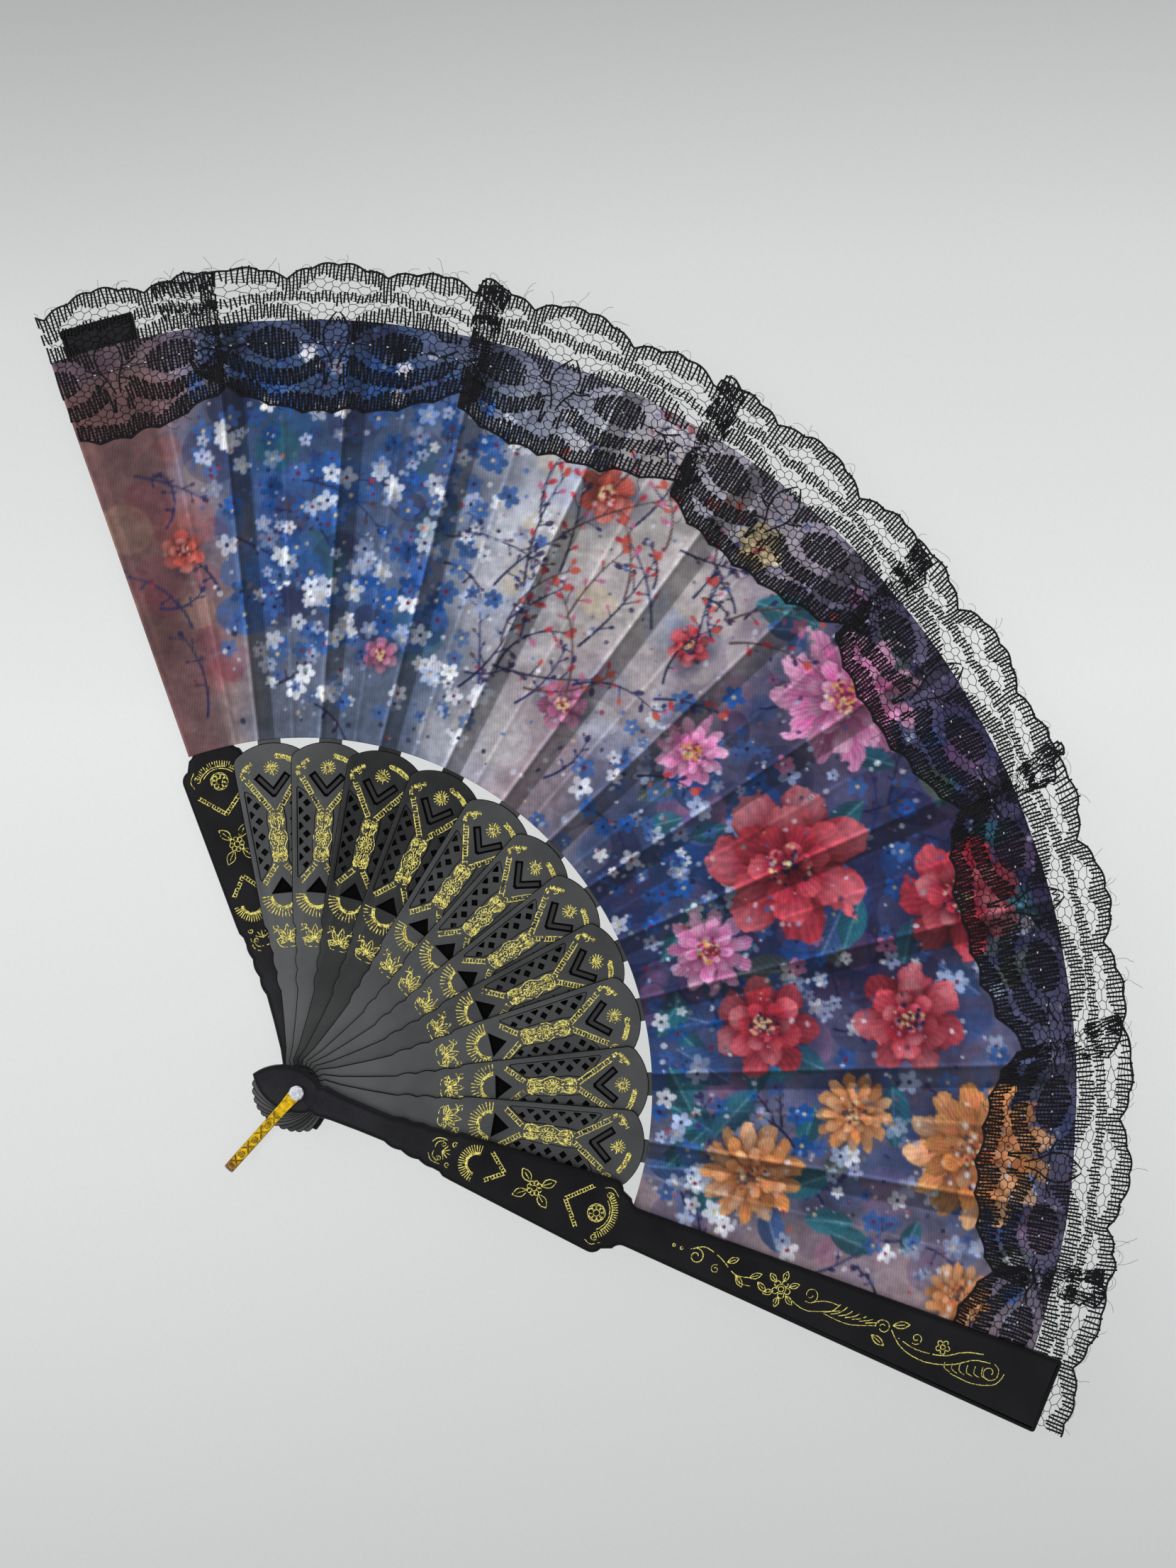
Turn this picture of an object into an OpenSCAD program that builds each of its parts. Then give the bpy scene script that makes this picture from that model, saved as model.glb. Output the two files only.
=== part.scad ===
// Folding hand fan: thirteen plastic sticks turning on one rivet, a pleated satin leaf,
// a lace edging along its rim, and a gold bail for a wrist cord.
// Millimetres. +Z is up, the rivet's axis is Z, and the spread fan's middle points along +Y.
// Each stick keeps its own level above the one before, so the fan closes into a flat stack.

/* [Spread] */
// Direction of the rear guard, counter-clockwise from +X, in degrees
rear_angle = 153.6; // [145:0.1:160]
// Share of the full spread, from half open to as far open as the leaf allows
spread = 1.0; // [0.5:0.01:1.0]

/* [Sticks] */
// Length of a guard from the rivet to its square tip
guard_reach = 217.5; // [205:0.5:225]
// Thickness of a guard
guard_t = 2.2; // [1.8:0.1:3]
// Thickness of a rib
rib_t = 0.9; // [0.8:0.05:1.2]
// Clear gap between one stick and the next
stick_gap = 0.1; // [0.08:0.01:0.3]
// Length of the pointed tail behind the rivet
tail_len = 12.9; // [11:0.1:14]
// Width of the tail
tail_w = 12.2; // [11:0.1:13]
// Distance from the rivet to the top of a rib's domed head
head_reach = 94.4; // [93:0.1:96]
// Width of the broad part just below its rounded shoulders
head_w = 20.7; // [19:0.1:22]
// Width of the neck
neck_w = 7.0; // [6:0.1:8]
// Reach of the slip that carries the leaf
slip_reach = 203; // [195:0.5:206]
// Thickness of the slip
slip_t = 0.35; // [0.25:0.05:0.4]
// Width of the slip at its inner end
slip_w = 6.3; // [5:0.1:7]

/* [Leaf and lace] */
// Radius of the leaf's inner edge
leaf_in = 96.3; // [95:0.1:100]
// Radius of the leaf's outer edge
leaf_out = 209.8; // [206:0.1:214]
// Thickness of the satin
leaf_t = 0.25; // [0.15:0.01:0.25]
// Radius of the lace's inner edge
lace_in = 189; // [180:0.5:195]
// Radius of the lace's outer edge, midway between peak and dip of its scallops
lace_out = 223.5; // [218:0.5:226]
// Thickness of the lace
lace_t = 0.2; // [0.1:0.01:0.2]

/* [Rivet and bail] */
// Diameter of the rivet's shaft
rivet_d = 2.2; // [2:0.1:2.6]
// Radial clearance of the shaft in each stick and in the bail
running = 0.07; // [0.04:0.01:0.1]
// Reach of the bail from the rivet's axis
bail_reach = 29.4; // [27:0.1:34]
// Width of the bail's strip
bail_w = 2.8; // [2.4:0.1:3.2]
// Thickness of the bail's strip
bail_t = 0.5; // [0.4:0.05:0.8]
// Direction of the bail
bail_angle = 276.5; // [260:0.5:300]
// Diameter of the rhinestone
stone_d = 4.0; // [3.4:0.1:4.6]

/* [Hidden] */
$fn = 48;
RIBS = 11;
LAST = RIBS + 1;
// Angle from each stick to the next, from the rear guard to the front guard
GAPS = [9.6, 10.3, 10.0, 11.2, 11.0, 10.0, 9.9, 10.0, 10.1, 12.2, 10.9, 12.2];

function total(list, n) = n == 0 ? 0 : list[n - 1] + total(list, n - 1);
function stick_angle(i) = rear_angle - spread * total(GAPS, i);
function two_digits(i) = str(i < 10 ? "0" : "", i);

// Levels, from the rivet's foot upwards
rivet_head_t = 0.8;
rivet_head_d = 5.2;
bail_low_z = rivet_head_t + stick_gap;
rear_z = bail_low_z + bail_t + stick_gap;
first_rib_z = rear_z + guard_t + leaf_t + lace_t + 0.15;
pitch = rib_t + stick_gap;
front_tab_z = first_rib_z + RIBS * pitch;
front_z = front_tab_z + leaf_t + lace_t + 0.04;
bail_high_z = front_z + guard_t + stick_gap;
shaft_top_z = bail_high_z + bail_t + stick_gap;

// Level of the satin's underside where it is glued to stick i
function leaf_z(i) = i == 0 ? rear_z + guard_t
    : i == LAST ? front_tab_z
    : first_rib_z + (i - 1) * pitch + slip_t;

// The stitched lace lies this far above the satin
lace_lift = 0.04;
// Satin to the right of a stick's axis up to the next crease, in degrees
glued_right = 3.8;
// Satin to the left of the rear guard's axis, in degrees
end_left = 4.0;
// Satin tab under the front guard, in degrees each side of its axis
tab_left = 1.3;
tab_right = 1.9;
// A crease runs this far outside the slip's left edge
crease_margin = 0.1;
// Growth of the slip's half width for each millimetre of radius
slip_flare = 0.008;

BLACK = "#1a1a1c";
SMOKE = "#2c2e31";
GOLD = "#d9a520";
SILVER = "#c9ccd0";
LACE = "#101012";
// Main colour of the satin on each stick and on the fold before it
SATIN = ["#8a5f5c", "#9a7680", "#3c4f8a", "#6d7ea6", "#b9b9bd", "#c6c2bf", "#bca9ae",
         "#a97f9b", "#3b6f78", "#a8334e", "#3c3f72", "#9a3a52", "#a3767c"];

// ---------------------------------------------------------------- outlines

// Points along an arc, in the plane of a stick: along it, and out to its side
function arc(centre, r, from, to, n = 8) =
    [for (k = [0:n]) let (a = from + (to - from) * k / n) centre + r * [cos(a), sin(a)]];
// The same points on the other side, in reverse order
function other_side(side) = [for (k = [len(side) - 1:-1:0]) [side[k].x, -side[k].y]];

// Pointed, almond-shaped tail: one circle passes through its tip and its widest point
tail_peak = -1.9;
tail_r = (pow(tail_len + tail_peak, 2) + pow(tail_w / 2, 2)) / tail_w;
tail_centre = [tail_peak, tail_w / 2 - tail_r];
tail_tip_angle = 180 - atan2(-tail_centre.y, tail_len + tail_peak);

// Three shallow scallops lead from the neck to the broad part
scallop_from = 26.5;
scallop_len = 5.2;
scallop_w = 1.6;
scallop_bump = 0.5;
scallop_side = [for (k = [0:17]) let (t = k / 6)
    [scallop_from + t * scallop_len,
     neck_w / 2 + scallop_w * t / 3 + scallop_bump * abs(sin(180 * t))]];

stick_side = concat(
    arc(tail_centre, tail_r, tail_tip_angle, 60, 12),
    [[5.1, 3.7]],
    arc([6.7, 3.3], 1.0, 140, 60, 4),
    [[11, neck_w / 2 + 0.2], [19, neck_w / 2]],
    scallop_side,
    [[43.3, 5.5], [44.6, 6.3], [47, 6.6]]);

// A rib's head ends in a low dome with rounded corners
dome_r = 14.8;
corner_r = 3.2;
corner_centre = [head_reach - dome_r, 0] + (dome_r - corner_r) * [cos(38), sin(38)];
rib_side = concat(stick_side,
    arc([corner_centre.x, head_w / 2 - corner_r], corner_r, 93, 38, 6),
    arc([head_reach - dome_r, 0], dome_r, 30, 4, 5));

// A guard's shoulders sweep in to a narrow blade that widens to a square tip
blade_w = 10.8;
tip_r = 0.9;
guard_side = concat(stick_side,
    arc([88.3, head_w / 2 - 3.1], 3.1, 94, 20, 6),
    arc([96.6, 8.05], 2.7, 200, 266, 5),
    [[98.5, blade_w / 2]],
    arc([guard_reach - tip_r, head_w / 2 - tip_r], tip_r, 92, 0, 4));

module outline(side) {
    polygon(concat(side, other_side(side)));
}

module rivet_hole(h) {
    translate([0, 0, -1]) cylinder(d = rivet_d + 2 * running, h = h + 2);
}

// ---------------------------------------------------------------- sticks

window = [[56.6, 5.7], [81.5, 8.0], [78.3, 2.8], [60.8, 2.6]];
window_margin = 0.3;
window_depth = 0.25;
diamond = 1.6;

// Lattice of one window: a full row of diamonds and a row cut by the window's outer edge
module lattice() {
    intersection() {
        polygon([for (p = window) p + window_margin * [p.x < 70 ? 1 : -1, p.y > 4 ? -1 : 1]]);
        for (k = [0:4]) {
            translate([60.4 + 4.25 * k, 3.75 + 0.33 * k]) rotate(45) square(diamond, center = true);
            translate([62.5 + 4.2 * k, 5.75 + 0.36 * k]) rotate(45) square(diamond, center = true);
        }
    }
}

// Slot shaped like an arrowhead that points to the rivet
module chevron() {
    for (side = [-1, 1])
        translate([80.6, 0]) rotate(side * 41) translate([-0.6, -0.9]) square([7, 1.8]);
}

module rib_openings() {
    polygon([[53.2, -3.1], [53.2, 3.1], [57.3, 0]]);
    chevron();
    lattice();
    mirror([0, 1]) lattice();
}

module slip() {
    inner = slip_w / 2;
    outer = inner + slip_flare * (slip_reach - leaf_in);
    polygon(concat([[head_reach - 4, -inner], [slip_reach - 2, -outer]],
        arc([slip_reach - 2, 0], 2, -60, 60, 4), [[slip_reach - 2, outer], [head_reach - 4, inner]]));
}

module rib(i) {
    color(SMOKE) rotate(stick_angle(i)) translate([0, 0, first_rib_z + (i - 1) * pitch])
        difference() {
            union() {
                linear_extrude(rib_t) difference() {
                    outline(rib_side);
                    rib_openings();
                }
                linear_extrude(slip_t) slip();
            }
            for (side = [0, 1]) mirror([0, side]) translate([0, 0, rib_t - window_depth])
                linear_extrude(1) polygon(window);
            rivet_hole(rib_t);
        }
}

module guard(i, z) {
    color(BLACK) rotate(stick_angle(i)) translate([0, 0, z]) difference() {
        linear_extrude(guard_t) outline(guard_side);
        rivet_hole(guard_t);
    }
}

module rear_guard() { guard(0, rear_z); }

// The front guard shows the round ejector mark of its mould beside the rivet
module front_guard() {
    difference() {
        guard(LAST, front_z);
        color(BLACK) rotate(stick_angle(LAST)) translate([4.2, -0.8, front_z + guard_t - 0.12])
            cylinder(d = 3, h = 1);
    }
}

// ---------------------------------------------------------------- rivet, stone and bail

tenon_d = 1.4;
cup_t = 0.5;

module rivet() {
    color(SILVER) {
        cylinder(d = rivet_head_d, h = rivet_head_t);
        cylinder(d = rivet_d, h = shaft_top_z);
        cylinder(d = tenon_d, h = shaft_top_z + cup_t);
    }
}

// Flat seat riveted over the shaft's end
module stone_cup() {
    color(SILVER) translate([0, 0, shaft_top_z]) difference() {
        cylinder(d = stone_d, h = cup_t);
        translate([0, 0, -1]) cylinder(d = tenon_d, h = cup_t + 2);
    }
}

// Flat-backed stone: girdle, sloping crown and flat table
module rhinestone() {
    color(SILVER) translate([0, 0, shaft_top_z + cup_t]) rotate_extrude()
        polygon([[0, 0], [stone_d / 2, 0], [stone_d / 2, 0.3], [stone_d / 4, 1.2], [0, 1.2]]);
}

bail_middle_z = (bail_low_z + bail_high_z + bail_t) / 2;
bail_bend_r = (bail_high_z + bail_t - bail_low_z) / 2;
bail_leg = bail_reach - bail_bend_r;
eye_w = 3.6;
eye_len = 5.5;

module bail_leg(z) {
    translate([0, 0, z]) difference() {
        union() {
            translate([-eye_w / 2, -eye_w / 2, 0]) cube([eye_w / 2 + eye_len, eye_w, bail_t]);
            translate([0, -bail_w / 2, 0]) cube([bail_leg, bail_w, bail_t]);
        }
        rivet_hole(bail_t);
    }
}

// One strip, bent round from the front of the fan to the back
module bail() {
    color(GOLD) rotate(bail_angle) {
        bail_leg(bail_low_z);
        bail_leg(bail_high_z);
        translate([bail_leg, bail_w / 2, bail_middle_z]) rotate([90, 0, 0])
            rotate([0, 0, -90]) rotate_extrude(angle = 180)
                translate([bail_bend_r - bail_t, 0]) square([bail_t, bail_w]);
    }
}

// ---------------------------------------------------------------- leaf and lace

function slip_half(r) = slip_w / 2 + slip_flare * (r - leaf_in) + crease_margin;
// Angle of the crease to the left and to the right of stick i's axis, at radius r
function left_crease(i, r) = stick_angle(i)
    + (i == 0 ? end_left : i == LAST ? tab_left : asin(slip_half(r) / r));
function right_crease(i, r) = stick_angle(i) - (i == LAST ? tab_right : glued_right);

function polar(r, a) = [r * cos(a), r * sin(a)];

// Satin glued flat to stick i, between its two creases
module glued_satin(i, r0, r1, z, t, n = 5) {
    inner = [for (k = [0:n]) polar(r0, left_crease(i, r0) + (right_crease(i, r0) - left_crease(i, r0)) * k / n)];
    outer = [for (k = [n:-1:0]) polar(r1, left_crease(i, r1) + (right_crease(i, r1) - left_crease(i, r1)) * k / n)];
    translate([0, 0, z]) linear_extrude(t) polygon(concat(inner, outer));
}

// Closed skin over rows of points, two rows below and two above: inner below, outer below,
// inner above, outer above, each of n points
module skin(rows) {
    n = len(rows[0]);
    points = concat(rows[0], rows[1], rows[2], rows[3]);
    along = [for (k = [0:n - 2]) each [
        [k, k + 1, n + k + 1], [k, n + k + 1, n + k],
        [2 * n + k, 3 * n + k, 3 * n + k + 1], [2 * n + k, 3 * n + k + 1, 2 * n + k + 1],
        [k, 2 * n + k, 2 * n + k + 1], [k, 2 * n + k + 1, k + 1],
        [n + k, n + k + 1, 3 * n + k + 1], [n + k, 3 * n + k + 1, 3 * n + k]]];
    ends = [for (k = [0, n - 1]) let (s = k == 0)
        each [s ? [k, n + k, 3 * n + k] : [k, 3 * n + k, n + k],
              s ? [k, 3 * n + k, 2 * n + k] : [k, 2 * n + k, 3 * n + k]]];
    polyhedron(points, concat(along, ends));
}

function lifted(row, t) = [for (p = row) p + [0, 0, t]];

// One edge of the satin fold that runs down from stick i's left crease to stick i - 1
function fold_edge(i, r, n) = [for (k = [0:n]) let (t = k / n)
    [each polar(r, left_crease(i, r) * t + right_crease(i - 1, r) * (1 - t)),
     leaf_z(i) * t + leaf_z(i - 1) * (1 - t)]];

module leaf_fold(i) {
    inner = fold_edge(i, leaf_in, 4);
    outer = fold_edge(i, leaf_out, 4);
    color(SATIN[i - 1])
        skin([inner, outer, lifted(inner, leaf_t), lifted(outer, leaf_t)]);
}

// Scallops of the lace's two edges
scallop_depth = 3.5;
scallop_pitch = 11.5;
function lace_outer(a) = lace_out + scallop_depth * (abs(sin(180 * a / scallop_pitch)) - 0.5);

// Angles and levels across the satin on stick i and the fold after it
function lace_stations(i) = let (r = lace_out, n = 5) concat(
    [for (k = [0:n]) let (t = k / n)
        [left_crease(i, r) * (1 - t) + right_crease(i, r) * t, leaf_z(i)]],
    i == LAST ? [] : [for (k = [1:n]) let (t = k / n)
        [right_crease(i, r) * (1 - t) + left_crease(i + 1, r) * t,
         leaf_z(i) * (1 - t) + leaf_z(i + 1) * t]]);

module lace(i) {
    lift = leaf_t + lace_lift;
    stations = lace_stations(i);
    inner = [for (s = stations) [each polar(lace_in, s[0]), s[1] + lift]];
    outer = [for (s = stations) [each polar(lace_outer(s[0]), s[0]), s[1] + lift]];
    color(LACE) skin([inner, outer, lifted(inner, lace_t), lifted(outer, lace_t)]);
}

// The satin's end is folded double under the front guard, up to the lace
module leaf_on_front_guard() {
    color(SATIN[LAST]) {
        glued_satin(LAST, leaf_in, lace_in - 0.5, front_tab_z, front_z - front_tab_z);
        glued_satin(LAST, lace_in - 1, leaf_out, front_tab_z, leaf_t);
    }
}

rear_guard();
for (i = [1:RIBS])
    rib(i);
front_guard();
rivet();
stone_cup();
rhinestone();
bail();
color(SATIN[0]) glued_satin(0, leaf_in, leaf_out, leaf_z(0), leaf_t);  // leaf_on_rear_guard
for (i = [1:RIBS])
    color(SATIN[i]) glued_satin(i, leaf_in, leaf_out, leaf_z(i), leaf_t);
leaf_on_front_guard();
for (i = [1:LAST])
    leaf_fold(i);
for (i = [0:LAST])
    lace(i);
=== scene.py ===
"""Folding hand fan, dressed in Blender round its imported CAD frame.

Lengths in this script are in millimetres and angles in degrees, counter-clockwise from +X, unless a
name or comment says otherwise; new_piece() turns millimetres into Blender's metres. On a stick, u
runs from the rivet to the tip and v to the left of that line.
"""
import math

import bpy
import numpy as np
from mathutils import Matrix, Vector
from mathutils.geometry import tessellate_polygon


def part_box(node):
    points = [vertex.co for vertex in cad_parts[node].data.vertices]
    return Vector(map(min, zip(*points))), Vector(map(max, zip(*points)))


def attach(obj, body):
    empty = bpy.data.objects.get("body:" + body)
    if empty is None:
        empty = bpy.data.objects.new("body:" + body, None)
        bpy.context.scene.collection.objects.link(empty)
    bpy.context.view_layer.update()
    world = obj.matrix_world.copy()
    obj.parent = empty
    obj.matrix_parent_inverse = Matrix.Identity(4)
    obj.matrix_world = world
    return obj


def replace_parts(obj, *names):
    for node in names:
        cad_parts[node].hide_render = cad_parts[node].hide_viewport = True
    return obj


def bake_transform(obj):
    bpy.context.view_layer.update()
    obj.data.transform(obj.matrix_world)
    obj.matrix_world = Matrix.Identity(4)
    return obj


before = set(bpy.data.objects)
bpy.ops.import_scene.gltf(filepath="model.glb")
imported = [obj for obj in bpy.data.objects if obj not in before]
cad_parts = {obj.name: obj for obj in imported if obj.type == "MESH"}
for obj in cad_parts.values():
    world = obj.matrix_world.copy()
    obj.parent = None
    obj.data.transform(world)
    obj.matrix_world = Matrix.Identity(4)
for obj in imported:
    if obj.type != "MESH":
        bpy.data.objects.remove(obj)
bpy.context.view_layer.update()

MM = 0.001
LAST = 12
STICKS = ["rear_guard"] + [f"rib_{i:02d}" for i in range(1, LAST)] + ["front_guard"]
BODIES = ["rear"] + [f"stick_{i:02d}" for i in range(1, LAST)] + ["front"]
GLUED = ["leaf_on_rear_guard"] + [f"leaf_on_rib_{i:02d}" for i in range(1, LAST)] + ["leaf_on_front_guard"]


def low(node):
    return np.array(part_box(node)[0]) / MM


def high(node):
    return np.array(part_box(node)[1]) / MM


def node_points(node):
    return np.array([v.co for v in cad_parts[node].data.vertices]) / MM


def stick_direction(node):
    """Angle of a stick: its tip is symmetric about its axis."""
    p = node_points(node)
    reach = np.hypot(p[:, 0], p[:, 1])
    tip = p[reach > 0.985 * reach.max()].mean(0)
    return math.degrees(math.atan2(tip[1], tip[0]))


ANGLE = [stick_direction(s) for s in STICKS]
TOP = [high(s)[2] for s in STICKS]
CLOTH_Z = [low(g)[2] for g in GLUED]


# ------------------------------------------------------------------ camera, floor and light

VIEW_HEIGHT, CAMERA_HEIGHT, SENSOR = 420.0, 600.0, 36.0
# What the camera looks at, and the direction that is up in the picture
VIEW_CENTRE, VIEW_UP = (-9.8, 113.2), 138.3
FLOOR_HALF, FLOOR_LEVEL = 6000.0, -0.05
FLOOR_OWN_LIGHT = 0.85
# Height in the picture and grey value of the floor, which is painted darker towards the top and bottom of the
# picture as painted light falloff; height in the sky and its brightness
FLOOR_FALLOFF_TONES = (0.0, 200), (0.3, 223), (0.55, 232), (0.8, 216), (1.0, 179)
SKY_TONES = (0.30, 0.42), (0.58, 0.98), (0.93, 1.0), (0.985, 0.12)
SKY_STRENGTH = 0.93
# The window's size, distance and height in metres, and its power in watts
WINDOW_SIZE, WINDOW_AWAY, WINDOW_UP, WINDOW_POWER = (0.9, 0.6), 0.95, 0.85, 5.9


def new_object(name, data):
    thing = bpy.data.objects.new(name, data)
    bpy.context.scene.collection.objects.link(thing)
    return thing


def make_camera():
    data = bpy.data.cameras.new("camera")
    data.sensor_width = SENSOR
    data.lens = SENSOR * (CAMERA_HEIGHT - TOP[LAST]) / VIEW_HEIGHT
    data.clip_start, data.clip_end = 0.01, 20
    camera = new_object("camera", data)
    camera.location = (VIEW_CENTRE[0] * MM, VIEW_CENTRE[1] * MM, CAMERA_HEIGHT * MM)
    camera.rotation_euler = (0, 0, math.radians(VIEW_UP - 90))
    bpy.context.scene.camera = camera
    bpy.context.scene.view_settings.view_transform = "Standard"


def linear(c):
    """Linear light from sRGB values of 0 to 1."""
    return np.where(c <= 0.04045, c / 12.92, ((c + 0.055) / 1.055) ** 2.4)


def srgb(*values):
    """Linear colour from 8-bit sRGB values."""
    return tuple(float(x) for x in linear(np.array(values, float) / 255))


class Nodes:
    """Short way to write the nodes of a material, or of the world."""

    def __init__(self, name, library=bpy.data.materials, shader="Principled BSDF"):
        self.owner = library.new(name)
        self.owner.use_nodes = True
        self.tree = self.owner.node_tree
        self.shader = self.tree.nodes[shader]

    def put(self, socket, value):
        if isinstance(value, bpy.types.NodeSocket):
            self.tree.links.new(value, socket)
        else:
            socket.default_value = value

    def add(self, kind, **values):
        """New node. A value is one of its properties, or one of its inputs with _ for a space."""
        node = self.tree.nodes.new("ShaderNode" + kind)
        for key, value in values.items():
            if hasattr(node, key):
                setattr(node, key, value)
            else:
                self.put(node.inputs[key.replace("_", " ")], value)
        return node

    def finish(self, **values):
        for key, value in values.items():
            self.put(self.shader.inputs[key.replace("_", " ")], value)
        return self.owner

    def spot(self):
        """Object coordinates."""
        return self.add("TexCoord").outputs["Object"]

    def mapped(self, kind, **values):
        return self.add("Mapping", vector_type=kind, Vector=self.spot(), **values).outputs["Vector"]

    def axes(self, vector):
        return self.add("SeparateXYZ", Vector=vector).outputs

    def value(self, name):
        """A value that the mesh carries."""
        return self.add("Attribute", attribute_name=name).outputs["Fac"]

    def noise(self, scale, detail=3.0, roughness=0.6, vector=None):
        return self.add("TexNoise", Scale=scale, Detail=detail, Roughness=roughness,
                        Vector=vector or self.spot()).outputs["Fac"]

    def ramp(self, value, *stops):
        node = self.add("ValToRGB", Fac=value)
        points = node.color_ramp.elements
        while len(points) < len(stops):
            points.new(1.0)
        for point, (where, colour) in zip(points, stops):
            point.position, point.color = where, (*colour, 1)
        return node.outputs["Color"]

    def range(self, value, low, high, start=0.0, end=1.0):
        return self.add("MapRange", Value=value, From_Min=start, From_Max=end, To_Min=low,
                        To_Max=high).outputs["Result"]

    def mix(self, share, a, b, blend="MIX"):
        node = self.add("Mix", data_type="RGBA", blend_type=blend)
        for socket, x in ((node.inputs[0], share), (node.inputs[6], a), (node.inputs[7], b)):
            self.put(socket, x if isinstance(x, (float, bpy.types.NodeSocket)) else (*x, 1))
        return node.outputs[2]

    def maths(self, operation, a, b=0.0):
        node = self.add("Math", operation=operation)
        self.put(node.inputs[0], a)
        self.put(node.inputs[1], b)
        return node.outputs[0]

    def scaled(self, colour, factor):
        node = self.add("VectorMath", operation="SCALE", Scale=factor)
        self.put(node.inputs[0], colour)
        return node.outputs["Vector"]

    def bump(self, height, strength, distance, **values):
        node = self.add("Bump", Strength=strength, Distance=distance, Height=height, **values)
        return node.outputs["Normal"]


def make_floor():
    size, level = FLOOR_HALF * MM, FLOOR_LEVEL * MM
    mesh = bpy.data.meshes.new("floor")
    mesh.from_pydata([(-size, -size, level), (size, -size, level), (size, size, level), (-size, size, level)],
                     [], [(0, 1, 2, 3)])
    floor = new_object("floor", mesh)
    n = Nodes("floor_paper")
    picture = n.axes(n.mapped("TEXTURE", Location=(VIEW_CENTRE[0] * MM, VIEW_CENTRE[1] * MM, 0),
                              Rotation=(0, 0, math.radians(VIEW_UP - 90)), Scale=(0.9, VIEW_HEIGHT * MM, 1)))
    # Painted light falloff: the floor's grey is set by its height in the picture, tilted a little to one side
    # and softly blotched
    rise = n.maths("ADD", picture["Y"], n.maths("MULTIPLY", picture["X"], -0.12))
    rise = n.maths("ADD", rise, n.range(n.noise(3.5, 1), -0.05, 0.05))
    colour = n.ramp(n.range(rise, 0.0, 1.0, -0.55, 0.55),
                    *[(up, srgb(grey, grey + 2, grey + 1)) for up, grey in FLOOR_FALLOFF_TONES])
    grain = n.ramp(n.noise(900, 2), (0.3, (0.975,) * 3), (0.7, (1.0,) * 3))
    paper = n.mix(1.0, colour, grain, "MULTIPLY")
    n.finish(Base_Color=paper, Roughness=0.9, Specular_IOR_Level=0.1)
    # Part of the paper's brightness is its own, so that it stays pale under the net and the leaf
    ray = n.add("LightPath").outputs
    seen = n.maths("MAXIMUM", ray["Is Camera Ray"],
                   n.maths("MAXIMUM", ray["Is Glossy Ray"], ray["Is Transmission Ray"]))
    blend = n.add("MixShader", Fac=n.maths("MULTIPLY", seen, FLOOR_OWN_LIGHT))
    n.put(blend.inputs[1], n.shader.outputs[0])
    n.put(blend.inputs[2], n.add("Emission", Color=paper).outputs[0])
    n.put(n.tree.nodes["Material Output"].inputs["Surface"], blend.outputs[0])
    floor.data.materials.append(n.owner)


def make_light():
    world = Nodes("world", bpy.data.worlds, "Background")
    height = world.axes(world.add("TexCoord").outputs["Generated"])["Z"]
    sky = world.ramp(height, (0.0, (0.16, 0.165, 0.18)),
                     *[(z, (v, v * 1.01, v * 1.02)) for z, v in SKY_TONES], (1.0, (0.10, 0.10, 0.11)))
    bpy.context.scene.world = world.finish(Color=sky, Strength=SKY_STRENGTH)

    # A soft window to the left of the picture
    lamp = bpy.data.lights.new("window", "AREA")
    lamp.shape, (lamp.size, lamp.size_y) = "RECTANGLE", WINDOW_SIZE
    lamp.energy = WINDOW_POWER
    window = new_object("window", lamp)
    up = math.radians(VIEW_UP)
    right, ahead = Vector((math.sin(up), -math.cos(up), 0)), Vector((math.cos(up), math.sin(up), 0))
    target = Vector((0, 0.1, 0))
    away = (ahead * 0.35 - right).normalized() * WINDOW_AWAY
    window.location = target + away + Vector((0, 0, WINDOW_UP))
    window.rotation_euler = (target - window.location).to_track_quat("-Z", "Y").to_euler()


# ------------------------------------------------------------------ mesh helpers

def polar(r, angle):
    """x and y at radius r and an angle."""
    return r * np.cos(np.radians(angle)), r * np.sin(np.radians(angle))


def turned(points, angle):
    """Points given as u, v, z on a stick, in the fan's frame."""
    p = np.asarray(points, float)
    c, s = math.cos(math.radians(angle)), math.sin(math.radians(angle))
    return np.stack([p[..., 0] * c - p[..., 1] * s, p[..., 0] * s + p[..., 1] * c, p[..., 2]], -1)


def new_piece(name, points, faces, material, sharp=None):
    """New mesh object from points in millimetres."""
    mesh = bpy.data.meshes.new(name)
    mesh.from_pydata(np.asarray(points, float) * MM, [], faces)
    mesh.polygons.foreach_set("use_smooth", np.ones(len(mesh.polygons), bool))
    if sharp:
        mesh.set_sharp_from_angle(angle=math.radians(sharp))
    mesh.materials.append(material)
    return new_object(name, mesh)


def add_values(piece, name, domain, values):
    """Gives the mesh a value for its materials, one for each point or face."""
    layer = piece.data.attributes.new(name, "FLOAT", domain)
    layer.data.foreach_set("value", np.ravel(values).astype(np.float32))


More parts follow.
